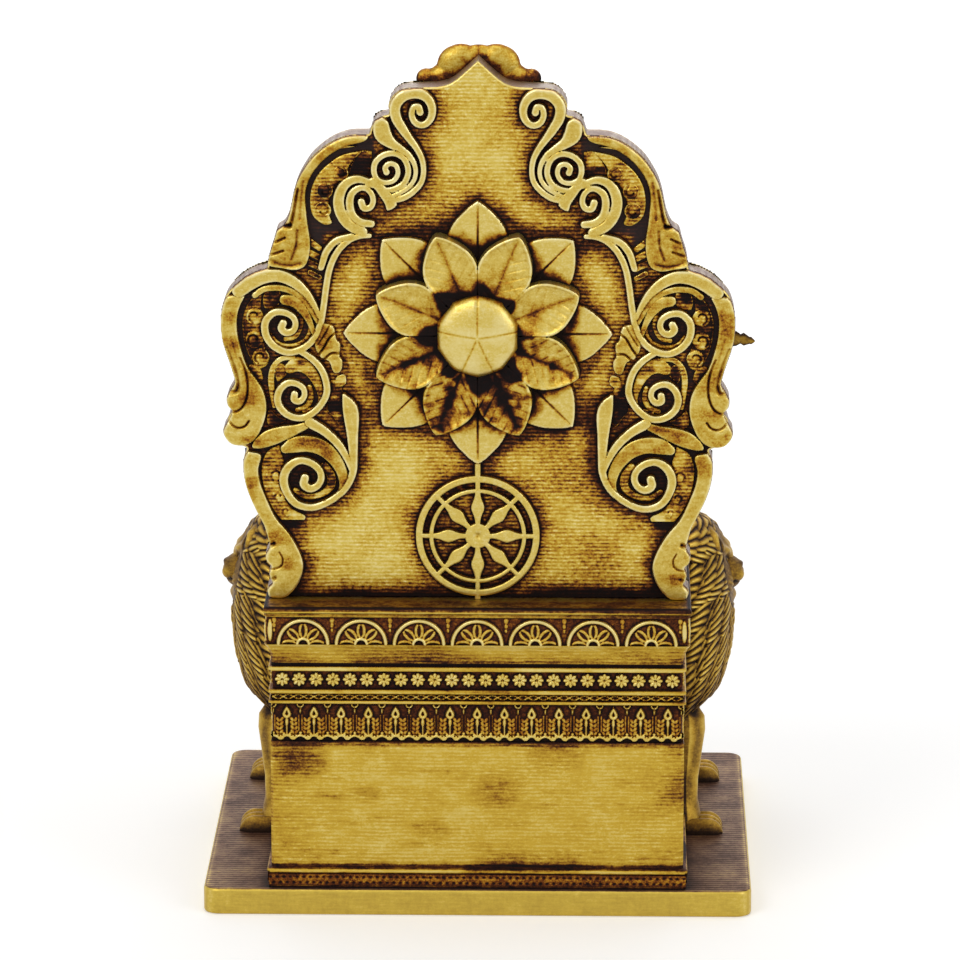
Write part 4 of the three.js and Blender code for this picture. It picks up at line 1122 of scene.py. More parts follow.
# zones of darker patina: outline, how dark, and how much of the rim's colour
ZONES = [
    ([(400, 860), (520, 850), (640, 800), (670, 740), (660, 620), (600, 600), (600, 680), (500, 690),
      (560, 740), (500, 790), (400, 790)], 0.37, 0.12),
    ([(520, 820), (600, 800), (650, 765), (660, 735), (630, 700), (560, 700), (580, 760), (500, 800)],
      0.16, 0.0),
    ([(760, 600), (900, 570), (945, 530), (920, 450), (860, 410), (780, 390), (800, 450), (830, 480),
      (840, 540)], 0.26, 0.05),
    ([(620, 570), (740, 600), (860, 570), (830, 500), (740, 460), (640, 480)], 0.26, 0.06),
    ([(600, 440), (700, 460), (790, 440), (800, 370), (720, 340), (600, 370)], 0.24, 0.05),
    ([(520, 300), (620, 340), (800, 330), (880, 290), (870, 220), (800, 140), (700, 160), (540, 200)],
      0.22, 0.02),
]


@dataclass
class Curl(Shape):
    """A low round scale: a dome with a groove that winds inwards from its edge."""

    x: float
    z: float
    radius: float
    turn: float
    top: float
    amber: float
    groove_from: float = 0.80
    groove_wind: float = 0.11
    groove_end: float = 4.6
    groove_width: float = 0.19
    groove_depth: float = 0.42
    dome_reach: float = 1.15
    least: float = 0.05

    def reach(self) -> tuple:
        """Box round the scale."""
        return around(np.array([[self.x, self.z]]), self.radius + REACH_MARGIN)

    def inside(self, x: Array, z: Array) -> Array:
        """Radius less distance to the middle."""
        return self.radius - np.hypot(x - self.x, z - self.z)

    def height(self, x: Array, z: Array, inside: Array) -> Array:
        """Dome (1 - (r / reach)^2)^0.3, less a groove at from - wind * angle of the radius."""
        dx, dz = x - self.x, z - self.z
        r = np.hypot(dx, dz)
        spin = np.mod(np.arctan2(dz, dx) - self.turn, 2 * math.pi)
        track = self.radius * (self.groove_from - self.groove_wind * spin)
        groove = bell(r - track, self.groove_width) * smooth((self.groove_end - spin) / 0.6)
        dome = unit(1 - (r / (self.dome_reach * self.radius)) ** 2) ** 0.3
        return np.maximum(self.top * dome - self.groove_depth * groove, self.least)


def leaf_of(rows: Sequence, top: float, edge: float, amber: float) -> Leaf:
    """A leaf of the right side from its outline's points."""
    leaf = Leaf(smooth_path(on_back([*rows, rows[0]]), 3)[:-1], top, edge)
    leaf.amber = amber
    return leaf


def band_of(rows: Sequence, top: float, edge: float, amber: float) -> Band:
    """A band of the right side, from its path's points."""
    path = smooth_path(on_back(rows), 5)
    path[:, 2] *= BAND_FOOT
    band = Band(path, top, edge)
    band.amber = amber
    return band


def named_leaf(key: str) -> Leaf:
    """A leaf of the table with its slope and creases.

    Args:
        key: name of the leaf.

    Returns:
        The carved leaf, in mm.
    """
    leaf = leaf_of(LEAVES[key], LEAF_TOPS[key], 0.3, AMBER.get(key, 0.0))
    leaf.creases = [
        Crease(smooth_path(on_back(path), 4), depth, width)
        for path, depth, width in CREASES.get(key, [])
    ]
    if key == "shoulder":
        outer = on_back(OUTLINE)
        leaf.slope_from = outer[outer[:, 1] > S.seat_top + SHOULDER_EDGE_SHARE * S.back_height]
        leaf.slope, leaf.slope_run = SHOULDER_SLOPE
        leaf.slope_above = S.seat_top + SHOULDER_SLOPE_SHARE * S.back_height
    return leaf


@dataclass
class Backrest:
    """The tall carved backrest: its plate and the reliefs on both faces."""

    shop: Workshop
    bevel: float = 0.35
    map_step: float = 0.22
    rear_step: float = 0.14
    front_step: float = 0.25
    rear_columns: int = 201
    front_columns: int = 55
    fill_box: tuple = (19.0, 46.0, 74.0, 144.0)
    box_margin: float = 0.6
    rubbed_top: float = 1.55
    amber_top: float = 1.15
    fill_top: float = 0.6
    curl_tops: tuple = (0.75, 1.28)
    curl_ambers: tuple = (0.34, 0.58)
    seat_shade: float = 0.8
    lotus_shade: float = 2.2
    dark_ring: float = 21.5
    bright_beside: float = 27.5

    def __post_init__(self) -> None:
        """Carves the reliefs and maps the shade of both faces."""
        bands = {
            k: band_of(v, self.amber_top if k in AMBER else self.rubbed_top, 0.30, AMBER.get(k, 0.0))
            for k, v in BANDS.items()
        }
        leaves = {k: named_leaf(k) for k in LEAVES}
        outline = on_back(OUTLINE)
        ends = np.array([[-6.0, outline[-1, 1]], [-6.0, outline[0, 1] - 2.0], outline[0] - [0, 2]])
        self.limit = Leaf(np.vstack([outline, ends]))

        def carve(table: dict) -> dict:
            """The reliefs of a table of bands and leaves."""
            return {
                name: Relief([bands[b] for b in names] + ([leaves[leaf]] if leaf else []), self.limit)
                for name, (names, leaf) in table.items()
            }

        self.reliefs, self.fronts = carve(SCROLLS), carve(FRONT_SCROLLS)
        for key in ("foot", "shoulder", "crescent", "wing"):
            self.reliefs[f"{key}_leaf"] = Relief([leaves[key]], self.limit)
        self.fronts["foot_leaf"] = self.reliefs["foot_leaf"]
        fills = [band_of(path, self.fill_top, 0.25, amber) for amber, path in FILL_BANDS]
        fills += [leaf_of(ring, top, 0.2, amber) for top, amber, ring in FILL_LEAVES]
        for across, up, radius, turn in CURLS:
            top, amber = self.curl_tops[up > 700], self.curl_ambers[up > 300]
            fills.append(Curl(*on_back([[across, up]])[0], radius, turn, top, amber))
        self.fill = Relief(fills, self.limit)
        self.lotus, self.wheel = Lotus(), Wheel()
        self.back = self.cavities([*self.reliefs.values(), self.fill], True)
        self.front = self.cavities(list(self.fronts.values()), False)

    def cavities(self, reliefs: Sequence[Relief], with_lotus: bool) -> Cavities:
        """Shade map of one face, from its right half mirrored.

        The seat below the backrest shades its foot like a wall.

        Args:
            reliefs: the reliefs of the right side.
            with_lotus: whether the lotus and the wheel stand on this face.

        Returns:
            The map over the whole face.
        """
        xs = np.arange(0, 50 + self.map_step, self.map_step)
        zs = np.arange(55.0, 165.0, self.map_step)
        x, z = np.meshgrid(xs, zs, indexing="ij")
        total = np.where(z < S.seat_top, self.seat_shade, 0.0)
        for relief in reliefs:
            total = np.maximum(total, relief.at(x, z)[1])
        if with_lotus:
            for part in (self.lotus.outer, self.lotus.inner, self.lotus.bud, self.wheel.relief()):
                total = np.maximum(total, np.minimum(part.at(x, z)[1], self.lotus_shade))
        return Cavities(-xs[-1], zs[0], self.map_step, np.concatenate([total[:0:-1], total]))

    def burns(self, x: Array, z: Array) -> tuple[Array, Array]:
        """Darkening of the rear face, and the share of the rim's colour there.

        Both come from the zones of dark patina; above and below the lotus the field is darker in
        a ring, beside it the field is brighter, and low on the right are smudges.
        """
        dark, pink = np.zeros(x.shape), np.zeros(x.shape)
        for outline, amount, tint in ZONES:
            soft = smooth(Leaf(on_back(outline)).inside(np.abs(x), z) / 1.2 + 0.5)
            dark, pink = np.maximum(dark, amount * soft), np.maximum(pink, tint * soft)
        up = z - S.lotus_z
        ends = smooth((up - 9) / 8) + 0.7 * smooth((-9 - up) / 8)
        ring = bell(np.hypot(x, up) - self.dark_ring, 5.5) * (0.3 + mottle(x, z, 6.0, 2.5, 33))
        darkened = 0.24 * (ends * ring - bell(np.abs(x) - self.bright_beside, 4.5, up, 13.0))
        low_right = smooth((x - 5) / 10) * smooth((97 - z) / 8)
        return dark + (darkened + 0.34 * mottle(x, z, 8.0, 4.0, 31) * low_right), pink

    def plate(self) -> None:
        """The plate, as rows of closed loops: back face, rim, front face, rim.

        Row i holds the points at the outline's sample i, so the edge is the outline
        itself; the rim's points step inward along the outline's normal.
        """
        line = smooth_path(on_back(OUTLINE), 5)
        line[:, 1] = np.maximum.accumulate(line[:, 1] + np.arange(len(line)) * 1e-5)
        line[:, 0] = np.maximum(line[:, 0], 0.02)
        step = np.gradient(line, axis=0)
        normal = np.stack([step[:, 1], -step[:, 0]], axis=1)
        normal /= np.maximum(np.linalg.norm(normal, axis=1, keepdims=True), TINY)
        back, front = S.field_y, S.front_y
        w, zr = line.T
        inner = np.maximum(w - self.bevel * np.abs(normal[:, 0]), 0.0)
        loops = []

        def face(y: float, cols: int, shade: Cavities, rear: bool) -> None:
            """One face: rows of points from edge to edge, with its shade."""
            s = np.linspace(-1, 1, cols) * (1 if rear else -1)
            x = inner[:, None] * s[None, :]
            z = (zr - self.bevel * normal[:, 1])[:, None] * np.ones_like(s)[None, :]
            dark, pink = self.burns(x, z) if rear else (0.0, np.zeros(x.shape))
            halo = 0.16 * mottle(x, z, 6.0, 4.0, 3) + 0.10 * mottle(x, z, 2.0, 1.2, 4)
            foot = 0.50 * (0.4 + mottle(x, z, 9.0, 1.5, 5)) * smooth(1 - (z - S.seat_top) / 4.5)
            # the field is darkened round its reliefs by the map's painted shade, over the patina of the
            # hollows
            wear_and_shade = np.clip(shade.wear_and_shade(x, z, 0 * x) - halo + 0.10 - dark - foot, 0, TOP_TONE)
            loops.append(np.stack([x, np.full_like(x, y), z, wear_and_shade, pink], axis=-1))

        def rim(side: int, depths: Sequence[tuple[float, float, float]]) -> None:
            """One side of the rim, from rows of (y, inset, share of the rim's colour)."""
            for y, inset, pink in depths:
                x = side * np.maximum(w - inset * normal[:, 0], 0.0)
                z = zr - inset * normal[:, 1]
                row = [x, np.full_like(x, y), z]
                # the bevel rows, which take none of the rim's colour, get 1.1, paler than rubbed brass: a
                # painted highlight along the plate's edges
                row += [np.full_like(x, 1.1 - 0.4 * pink), np.full_like(x, pink)]
                loops.append(np.stack(row, axis=-1)[:, None])

        to_front = [
            (back, 0.30, 0.0), (back + 0.10, 0.10, 0.0), (back + 0.30, 0.0, 0.6),
            (back + 0.8, 0.0, 0.85), (back + 2.6, 0.0, 0.9), (front - 2.2, 0.0, 0.9),
            (front - 0.30, 0.0, 0.6), (front - 0.10, 0.10, 0.0), (front, 0.30, 0.0),
        ]
        face(back, self.rear_columns, self.back, True)
        rim(1, to_front)
        face(front, self.front_columns, self.front, False)
        rim(-1, to_front[::-1])
        loop = np.concatenate([*loops, loops[0][:, :1]], axis=1)
        body = Surface.grid(loop[..., :3], loop[..., 3], loop[..., 4])
        body = body.around(0, (back + front) / 2, 105.0)
        self.shop.add("backrest_plate_surface", body, FIELD, "backrest_plate", 60)

    def carve(self) -> None:
        """All reliefs of both faces."""
        for side in Side:
            for name, relief in self.reliefs.items():
                self.patch(f"back_{name}_{side.word}", relief, side.value, True)
            for name, relief in self.fronts.items():
                self.patch(f"front_{name}_{side.word}", relief, side.value, False)
            self.patch(f"back_fill_{side.word}", self.fill, side.value, True)

    def patch(self, node: str, relief: Relief, side: int, on_rear: bool) -> None:
        """One relief as a height field, in place of its node if it has one."""
        box, has_node = self.fill_box, node in self.shop.frame["nodes"]
        if has_node:
            low, high = (np.array(c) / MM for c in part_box(node))
            m, (near, far) = self.box_margin, sorted((abs(low[0]), abs(high[0])))
            box = (near - m, far + m, low[2] - m, high[2] + m)
        shade = self.back if on_rear else self.front
        place = back_place(S.field_y) if on_rear else front_place(S.front_y)
        turn = side if on_rear else -side
        ambers = [s for s in relief.shapes if s.amber]

        def put(x: Array, z: Array, h: Array) -> Array:
            """The point on its side of the face."""
            return place(turn * x, z, h)

        def tone(x: Array, z: Array, h: Array) -> Array:
            """Painted shade of the hollows over their patina, with painted highlights on edges, less spots,
            amber blotches and a darkening down the sloped leaf.
            """
            spots = mottle(side * x, z, 1.6, 1.1, 7)
            stain = unit(mottle(side * x, z, 3.4, 2.6, 17) - 0.5)
            # the map's tone: painted shade in the hollows over their patina, and painted highlights on
            # raised edges
            worn_and_shaded = shade.wear_and_shade(x, z, h) - 0.12 * spots
            if not has_node:
                worn_and_shaded = worn_and_shaded + 0.27 * smooth((h - 0.05) / 0.2) * smooth((0.95 - h) / 0.2)
            amber = np.zeros(x.shape)
            for shape in ambers:
                mine = (h < shape.top + 0.3) & (h > 0.02)
                here = smooth(shape.inside(x, z) / 0.3 + 0.5) * mine
                amber = np.where(here > 0.5, shape.amber * here, amber)
            worn_and_shaded = worn_and_shaded - ((0.20 + 1.6 * spots) * amber + 0.9 * stain * (amber > 0))
            for leaf in (s for s in relief.shapes if getattr(s, "slope", 0)):
                fade = smooth((z - leaf.slope_above) / leaf.slope_fade)
                worn_and_shaded = worn_and_shaded - 0.48 * fade * unit((leaf.top - h) / leaf.slope)
            if not on_rear:
                worn_and_shaded = np.where(self.limit.inside(x, z) < 0.8, 0.85, worn_and_shaded)
            return np.clip(worn_and_shaded, 0, TOP_TONE)

        step = self.rear_step if on_rear else self.front_step
        surface = Patch(relief, box, step).surface(put, tone).facing((0, -1 if on_rear else 1, 0))
        finish = CARVED if has_node and "crescent" not in node else FIELD
        self.shop.add(f"{node}_carving", surface, finish, node if has_node else "", 40)


# Lotus and wheel


@dataclass
class Petals:
    """A ring of petals about the lotus' centre, each alike on its own axis.

    The signed distance is (half width(along) - |across|) / sqrt(1 + slope^2), and the
    distance to the tip's flat round near the end.
    """

    count: int
    start: float
    profile: Array  # rows of (along, half width)
    beyond: float = -0.6
    tip_run: float = 0.6
    tip_flat: float = 0.3

    def __post_init__(self) -> None:
        """Smooths the outline."""
        self.run, self.half = smooth_path(self.profile, 8).T
        self.slope = np.gradient(self.half, self.run)

    def local(self, x: Array, z: Array) -> tuple[Array, Array, Array]:
        """Place along and across the nearest petal, and the angle of its axis."""
        return axis_of(x, z - S.lotus_z, self.count, self.start)[:3]

    def signed(self, x: Array, z: Array) -> Array:
        """Signed distance to the petals' outline, in mm."""
        along, across, _ = self.local(x, z)
        half = np.interp(along, self.run, self.half, right=self.beyond)
        side = (half - np.abs(across)) / np.sqrt(1 + np.interp(along, self.run, self.slope) ** 2)
        tip = self.run[-1] - np.hypot(along, across * self.tip_flat)
        return np.minimum(side, np.where(along > self.run[-1] - self.tip_run, tip, 9.0))


@dataclass
class Lotus:
    """The lotus on the back: two rings of petals around a bud, as height fields."""

    bud_corners: int = 10
    bud_radius: float = 7.62
    dome_radius: float = 8.15
    outer_height: float = 0.92
    inner_height: float = 3.75
    bud_height: float = 2.9
    dome_height: float = 2.75
    vein_pitch: float = 1.9

    OUTER = np.array(
        [[5, 2.5], [10, 4.4], [14, 5.5], [16.8, 5.75], [18.8, 5.2], [20.8, 4.1], [22.6, 2.5],
         [23.8, 1.15], [24.6, 0.0]]
    )
    INNER = np.array(
        [[3, 1.4], [7, 2.9], [9.8, 4.1], [11.8, 4.85], [13.6, 4.9], [15.5, 4.3], [17.3, 3.1],
         [18.8, 1.75], [19.6, 0.75], [20.0, 0.0]]
    )
    CREASES = np.radians([90.0, 8.0, -66.0, -114.0, 172.0])

    def __post_init__(self) -> None:
        """Makes the three reliefs."""
        self.back_ring = Petals(8, 0.0, self.OUTER)
        self.front_ring = Petals(8, math.pi / 8, self.INNER)
        self.outer = Relief([Formula(self.back_ring.signed, self.outer_rise)])
        self.inner = Relief([Formula(self.front_ring.signed, self.inner_rise)])
        self.bud = Relief([Formula(self.bud_signed, self.bud_rise)])

    def outer_rise(self, x: Array, z: Array, s: Array) -> Array:
        """Height of the outer petals: folded along the middle, with a vein."""
        along, across, _ = self.back_ring.local(x, z)
        fold = 0.28 * unit(1 - np.abs(across) / 5.0)
        vein = 0.25 * bell(across, 0.17) * (along < 23.8)
        return rounded(s, self.outer_height, 0.3) + fold - vein

    def side_veins(self, along: Array, across: Array) -> Array:
        """Distance to the slanting veins of an inner petal, in mm."""
        pitch = self.vein_pitch
        return np.abs((along - 0.8 * np.abs(across)) % pitch - pitch / 2)

    def inner_rise(self, x: Array, z: Array, s: Array) -> Array:
        """Height of the inner petals: cupped, with a lip and slanting veins."""
        along, across, _ = self.front_ring.local(x, z)
        half = np.maximum(np.interp(along, self.front_ring.run, self.front_ring.half), 0.6)
        share = unit(np.abs(across) / half)
        depth = 1.25 * smooth((along - 2) / 6) * smooth((20.6 - along) / 5)
        cup = self.inner_height - 1.1 * unit(1 - along / 11.0)
        vein = 0.10 * bell(self.side_veins(along, across), 0.2) * smooth(np.abs(across) / 0.9)
        lip = 0.14 * bell(s - 0.3, 0.25) + rounded(s, 0.0, 0.28)
        return cup - depth * (1 - share**1.15) - vein * smooth((s - 0.5) / 0.8) + lip

    def bud_signed(self, x: Array, z: Array) -> Array:
        """Signed distance of the bud's outline, a polygon with corners on the creases."""
        half = math.pi / self.bud_corners
        _, _, axis, r = axis_of(x, z - S.lotus_z, self.bud_corners, math.pi / 2)
        corner = np.abs(np.arctan2(z - S.lotus_z, x) - axis)
        return self.bud_radius * math.cos(half) / np.cos(half - corner) - r

    def bud_rise(self, x: Array, z: Array, s: Array) -> Array:
        """Height of the bud: a dome of flat facets between creases."""
        r, gap = self.crease_gap(x, z)
        dome = np.sqrt(unit(1 - (r / self.dome_radius) ** 2))
        dome = self.bud_height + self.dome_height * dome - 0.16 * r * (self.facet(x, z) - 1.0)
        return dome - 0.14 * bell(gap, 0.32) * smooth(r / 0.8) - 0.5 * np.exp(-s / 0.35)

    def crease_gap(self, x: Array, z: Array) -> tuple[Array, Array]:
        """Radius on the bud, and the distance to its nearest crease, in mm."""
        r, a = np.hypot(x, z - S.lotus_z), np.arctan2(z - S.lotus_z, x)
        turn = np.abs((a[..., None] - self.CREASES + math.pi) % (2 * math.pi) - math.pi)
        return r, r * np.sin(np.minimum(turn.min(axis=-1), math.pi / 2))

    def facet(self, x: Array, z: Array) -> Array:
        """cos(a - m) / cos(w / 2) in the sector of middle m and width w between creases."""
        a = np.mod(np.arctan2(z - S.lotus_z, x), 2 * math.pi)
        marks = np.sort(np.mod(self.CREASES, 2 * math.pi))
        marks = np.concatenate([[marks[-1] - 2 * math.pi], marks, [marks[0] + 2 * math.pi]])
        k = np.searchsorted(marks, a) - 1
        return np.cos(a - (marks[k] + marks[k + 1]) / 2) / np.cos((marks[k + 1] - marks[k]) / 2)

    def outer_tone(self, x: Array, z: Array, h: Array) -> Array:
        """Tone of the outer petals, with the map's painted shade: dark near the middle and in the vein."""
        along, across, _ = self.back_ring.local(x, z)
        vein = bell(across, 0.2) * smooth((23.6 - along) / 2.0)
        burn = mottle(x, z, 1.1, 1.1, 9)
        deep = smooth((17.6 - along + 0.45 * np.abs(across) + 2.2 * (burn - 0.5)) / 2.6)
        return np.clip(self.shade.wear_and_shade(x, z, h) - 0.5 * vein - 0.42 * deep, 0, TOP_TONE)

    def inner_tone(self, x: Array, z: Array, h: Array) -> Array:
        """Tone of the inner petals: dark round the bud, where the bud's painted shadow lies over the
        petals' patina, most on the lower petals; dark along each midrib's valley, patina with painted
        shade; and a painted highlight along the edges.
        """
        along, across, axis = self.front_ring.local(x, z)
        side = np.abs(across)
        low = smooth((-np.sin(axis) + 0.35) / 1.25)
        burn, soot = mottle(x, z, 0.8, 0.8, 5), mottle(x, z, 2.2, 2.2, 6)
        # painted shadow of the bud over the petals' patina, deeper on the lower petals
        core = smooth((7.7 + 3.0 * (soot - 0.5) + 1.2 * low + 0.55 * side - along) / 1.6)
        scorch = unit(mottle(x, z, 1.6, 1.6, 61) - 0.45) * (0.25 + low)
        tip_side = smooth((-np.sin(axis) - 0.6) / 0.25) * smooth((along - 12) / 5)
        width = 0.24 + (0.30 + 0.60 * low + 0.9 * tip_side) * soot
        # the midrib's valley: patina with painted shade
        rib = np.exp(-((side / width) ** 1.3)) * smooth((19.6 - along) / 1.2)
        amber = 0.50 * smooth((14.5 - along - 0.5 * side) / 5.0) * soot
        vein = bell(self.side_veins(along, across), 0.22) * smooth(side / 0.5)
        vein = vein * (0.10 + 0.34 * low) * unit(1.8 * burn - 0.4)
        gap = np.interp(along, *self.INNER.T) - side
        # a painted highlight along the petal's rounded edge
        lip = 0.22 * bell(gap - 0.15, 0.22) * (along > 11.0)
        tone = 1.0 - (0.50 + 0.42 * low) * rib - 0.95 * core - vein + lip - amber
        tone = tone - 0.9 * scorch * smooth((17.5 - along) / 3.0)
        return np.clip(tone - 0.30 * burn * (0.15 + low), 0, TOP_TONE)

    def bud_tone(self, x: Array, z: Array, h: Array) -> Array:
        """Tone of the bud: bright, above rubbed brass as a painted sheen, with dark creases and a dark
        edge, painted shade over patina.
        """
        r, gap = self.crease_gap(x, z)
        crease = bell(gap, 0.17) * smooth(r / 0.8)
        edge = smooth((r - 6.7) / 0.8) * (0.3 + mottle(x, z, 1.0, 1.0, 2))
        smear = 0.16 * mottle(x, z, 2.6, 2.6, 15)
        # 1.12 is paler than rubbed brass: a painted sheen; creases and edge get painted shade over patina
        return np.clip(1.12 - 0.36 * crease - 0.62 * edge - smear, 0, TOP_TONE)

    def build(self, shop: Workshop, shade: Cavities) -> None:
        """Adds the three pieces of the lotus."""
        z, self.shade = S.lotus_z, shade
        for name, relief, reach, step, tone in (
            ("lotus_outer_petals", self.outer, 25.0, 0.19, self.outer_tone),
            ("lotus_inner_petals", self.inner, 20.4, 0.15, self.inner_tone),
            ("lotus_bud", self.bud, 7.9, 0.12, self.bud_tone),
        ):
            patch = Patch(relief, (-reach, reach, z - reach, z + reach), step)
            surface = patch.surface(back_place(S.field_y), tone).facing(REARWARD)
            shop.add(f"{name}_carving", surface, CARVED, name, 40)


@dataclass
class Wheel:
    """A plain eight-spoked wheel on a stem, as one relief."""

    spokes: int = 8
    rim: float = 10.785
    rim_half: float = 0.575
    inner_rim: float = 8.55
    inner_half: float = 0.34
    hub: float = 2.3
    stem_half: float = 0.45
    box: tuple = (-11.8, 11.8, 59.2, 85.3)
    step: float = 0.12

    def signed(self, x: Array, z: Array) -> Array:
        """Signed distance of rims, hub, swelling spokes and stem together."""
        along, across, _, r = axis_of(x, z - S.wheel_z, self.spokes)
        half = 0.40 + 0.75 * bell(along - 5.4, 1.6)
        spoke = np.where((along > 1.0) & (along < 10.9), half - np.abs(across), -1.0)
        stem = np.where((r > 10.6) & (z < S.lotus_z - 24.5), self.stem_half - np.abs(x), -1.0)
        rims = self.rim_half - np.abs(r - self.rim), self.inner_half - np.abs(r - self.inner_rim)
        return np.maximum.reduce([*rims, self.hub - r, spoke, stem])

    def rise(self, x: Array, z: Array, s: Array) -> Array:
        """Flat with a rounded edge and a dimple in the hub."""
        return rounded(s, 1.25, 0.28) - 0.4 * bell(np.hypot(x, z - S.wheel_z), 0.7)

    def relief(self) -> Relief:
        """The whole wheel."""
        return Relief([Formula(self.signed, self.rise)])

    def build(self, shop: Workshop, shade: Cavities) -> None:
        """Adds the wheel with its stem."""

        def tone(x: Array, z: Array, h: Array) -> Array:
            """Shade of the hollows."""
            return unit(shade.wear_and_shade(x, z, h))

        patch = Patch(self.relief(), self.box, self.step)
        surface = patch.surface(back_place(S.field_y), tone).facing(REARWARD)
        shop.add("wheel_carving", surface, CARVED, "wheel_and_stem", 40)


# Seat box and strips


def cell(x: Array, pitch: float, count: int) -> Array:
    """Offset from the nearest cell's centre in a row of `count` cells centred on 0.

    Args:
        x: coordinates in mm.
        pitch: cell width in mm.
        count: number of cells.

    Returns:
        Offsets in mm.
    """
    half = (count - 1) / 2
    return x - (np.clip(np.round(x / pitch + half), 0, count - 1) - half) * pitch


def ridge(distance: Array, half: float, height: float) -> Array:
    """A round moulding: height * sqrt(1 - (distance / half)^2) inside half."""
    return height * np.sqrt(unit(1 - (distance / half) ** 2))


def drop(u: Array, v: Array, lean: float, long: float, thick: float, height: float) -> Array:
    """A domed ellipse at the origin, turned by `lean` radians from the u axis."""
    p = u * math.cos(lean) + v * math.sin(lean)
    q = -u * math.sin(lean) + v * math.cos(lean)
    return ridge(np.hypot(p / long, q / thick), 1.0, height)


def highest(*forms: Array) -> Array:
    """The highest of several heights at each point."""
    return np.maximum.reduce(np.broadcast_arrays(*forms))


def arcade_height(x: Array, z: Array) -> Array:
    """Half flowers under round arches, with drops between the arches."""
    pitch, arches = 10.68, 7
    u, v = cell(x, pitch, arches), z - S.arcade_bottom
    r, a = np.hypot(u, v), np.arctan2(v, u)
    axis = np.clip(np.round(a / (math.pi / 4)), 0, 4) * (math.pi / 4)
    along, across = r * np.cos(a - axis), np.abs(r * np.sin(a - axis))
    half = 0.80 * np.sqrt(unit(1 - ((along - 2.6) / 1.3) ** 2))
    petal = np.where(half > 0.1, ridge(across - half * 0.74, 0.29, 0.26), 0)
    w = cell(x, pitch, arches + 1)
    return highest(
        ridge(r - 4.55, 0.40, 0.52),
        ridge(r - 1.08, 0.34, 0.5),
        np.where((r > 1.4) & (r < 4.0), petal, 0),
        *(
            ridge(np.hypot(w, (v - low) * 0.7), size, 0.22)
            for size, low in ((0.42, 4.6), (0.34, 3.6), (0.26, 2.7))
        ),
        ridge(np.hypot(np.abs(x) - 38.1, (v - 2.65) * 0.23), 0.5, 0.55),
    )


def rosette_height(x: Array, z: Array) -> Array:
    """A row of rosettes with eight drop-shaped petals."""
    u, v = cell(x, 3.13, 24), z - (S.rosette_bottom + S.rosette_top) / 2 + 0.28
    along, across, _, r = axis_of(u, v, 8)
    half = 0.15 + 0.24 * unit((along - 0.25) / 0.6)
    cap = np.sqrt(unit(1 - (np.maximum(along - 0.92, 0) / 0.42) ** 2))
    petal = 0.48 * np.sqrt(unit(1 - (across / (half * cap + 1e-4)) ** 2)) * (along > 0.22)
    return np.where(np.abs(x) < 37.7, np.maximum(petal, ridge(r, 0.2, 0.35)), 0)


def palmette_height(x: Array, z: Array) -> Array:
    """Palmettes on a garland, with small pendants between them."""
    pitch, count = 5.03, 15
    u, w, v = cell(x, pitch, count), cell(x, pitch, count + 1), z - S.panel_top
    a, b, top, upright = np.abs(u), np.abs(w), v - 5.2, math.pi / 2
    head = np.where(top > 0, a + 0.45 * np.maximum(top, 0) ** 1.35, np.hypot(u, top / 1.05))
    fronds = []
    for row in range(4):
        up = v - 4.15 + 0.80 * row
        fronds.append(drop(a - 0.92 - 0.04 * row, up, 2.2, 0.56, 0.31, 0.26))
        fronds.append(drop(a - 1.60 - 0.05 * row, up + 0.1, 1.0, 0.52, 0.29, 0.20))
    garland = v - 0.85 - 0.22 * np.cos(u * 4 * math.pi / pitch)
    curl = np.hypot(a - 1.15, v - 0.95)
    h = highest(
        ridge(head - 0.52, 0.34, 0.5),
        ridge(u, 0.19, 0.44) * ((v > 1.0) & (v < 4.5)),
        drop(u, v - 3.70, upright, 0.85, 0.36, 0.5),
        *fronds,
        ridge(garland, 0.30, 0.46),
        ridge(curl - 0.55, 0.22, 0.5) * (v < 1.3),
        ridge(curl, 0.26, 0.5),
        drop(a - 0.50, v - 1.35, 0.8, 0.55, 0.26, 0.42),
        ridge(np.hypot(w, v - 7.1) - 0.55, 0.17, 0.4) * (v < 7.2),
        drop(w, v - 5.8, upright, 0.55, 0.2, 0.42),
        ridge(b - 0.30, 0.10, 0.16) * ((v > 1.9) & (v < 5.0)),
        ridge(np.hypot(w, v - 1.55), 0.32, 0.45),
        drop(b - 0.45, v - 0.95, 2.3, 0.42, 0.18, 0.4),
    )
    return np.where(np.abs(x) < 37.9, h, 0)


def chain_height(x: Array, z: Array) -> Array:
    """Two crossing waves."""
    v = (z - (S.chain_bottom + S.chain_top) / 2) / 0.40
    wave = np.sin(x * 2 * math.pi / 3.77)
    return 0.02 + np.maximum(ridge(v - wave, 0.42, 0.34), ridge(v + wave, 0.42, 0.34))


def net_height(x: Array, z: Array) -> Array:
    """Two staggered rows of small hollows on the plinth."""
    pitch = 1.24
    h = np.full_like(x, 0.20)
    for row, shift in ((6.1, 0.0), (7.15, pitch / 2)):
        u = (x + shift) % pitch - pitch / 2
        h = h - 0.18 * bell(np.hypot(u * 0.8, z - row), 0.27)
    return h


def moulding(low: float, high: float, out: float, gain: float = 1.0) -> list:
    """Rows of (offset, height, tone) round a half-round bead between two heights; the tone is a painted
    light, brightest on the bead's bulge and darker where it meets the faces.
    """
    middle, half = (low + high) / 2, (high - low) / 2
    return [
        (out - 0.2 + 0.2 * math.sin(a), middle - half * math.cos(a), (0.55 + 0.6 * math.sin(a)) * gain)
        for a in np.linspace(0, math.pi, 7)
    ]


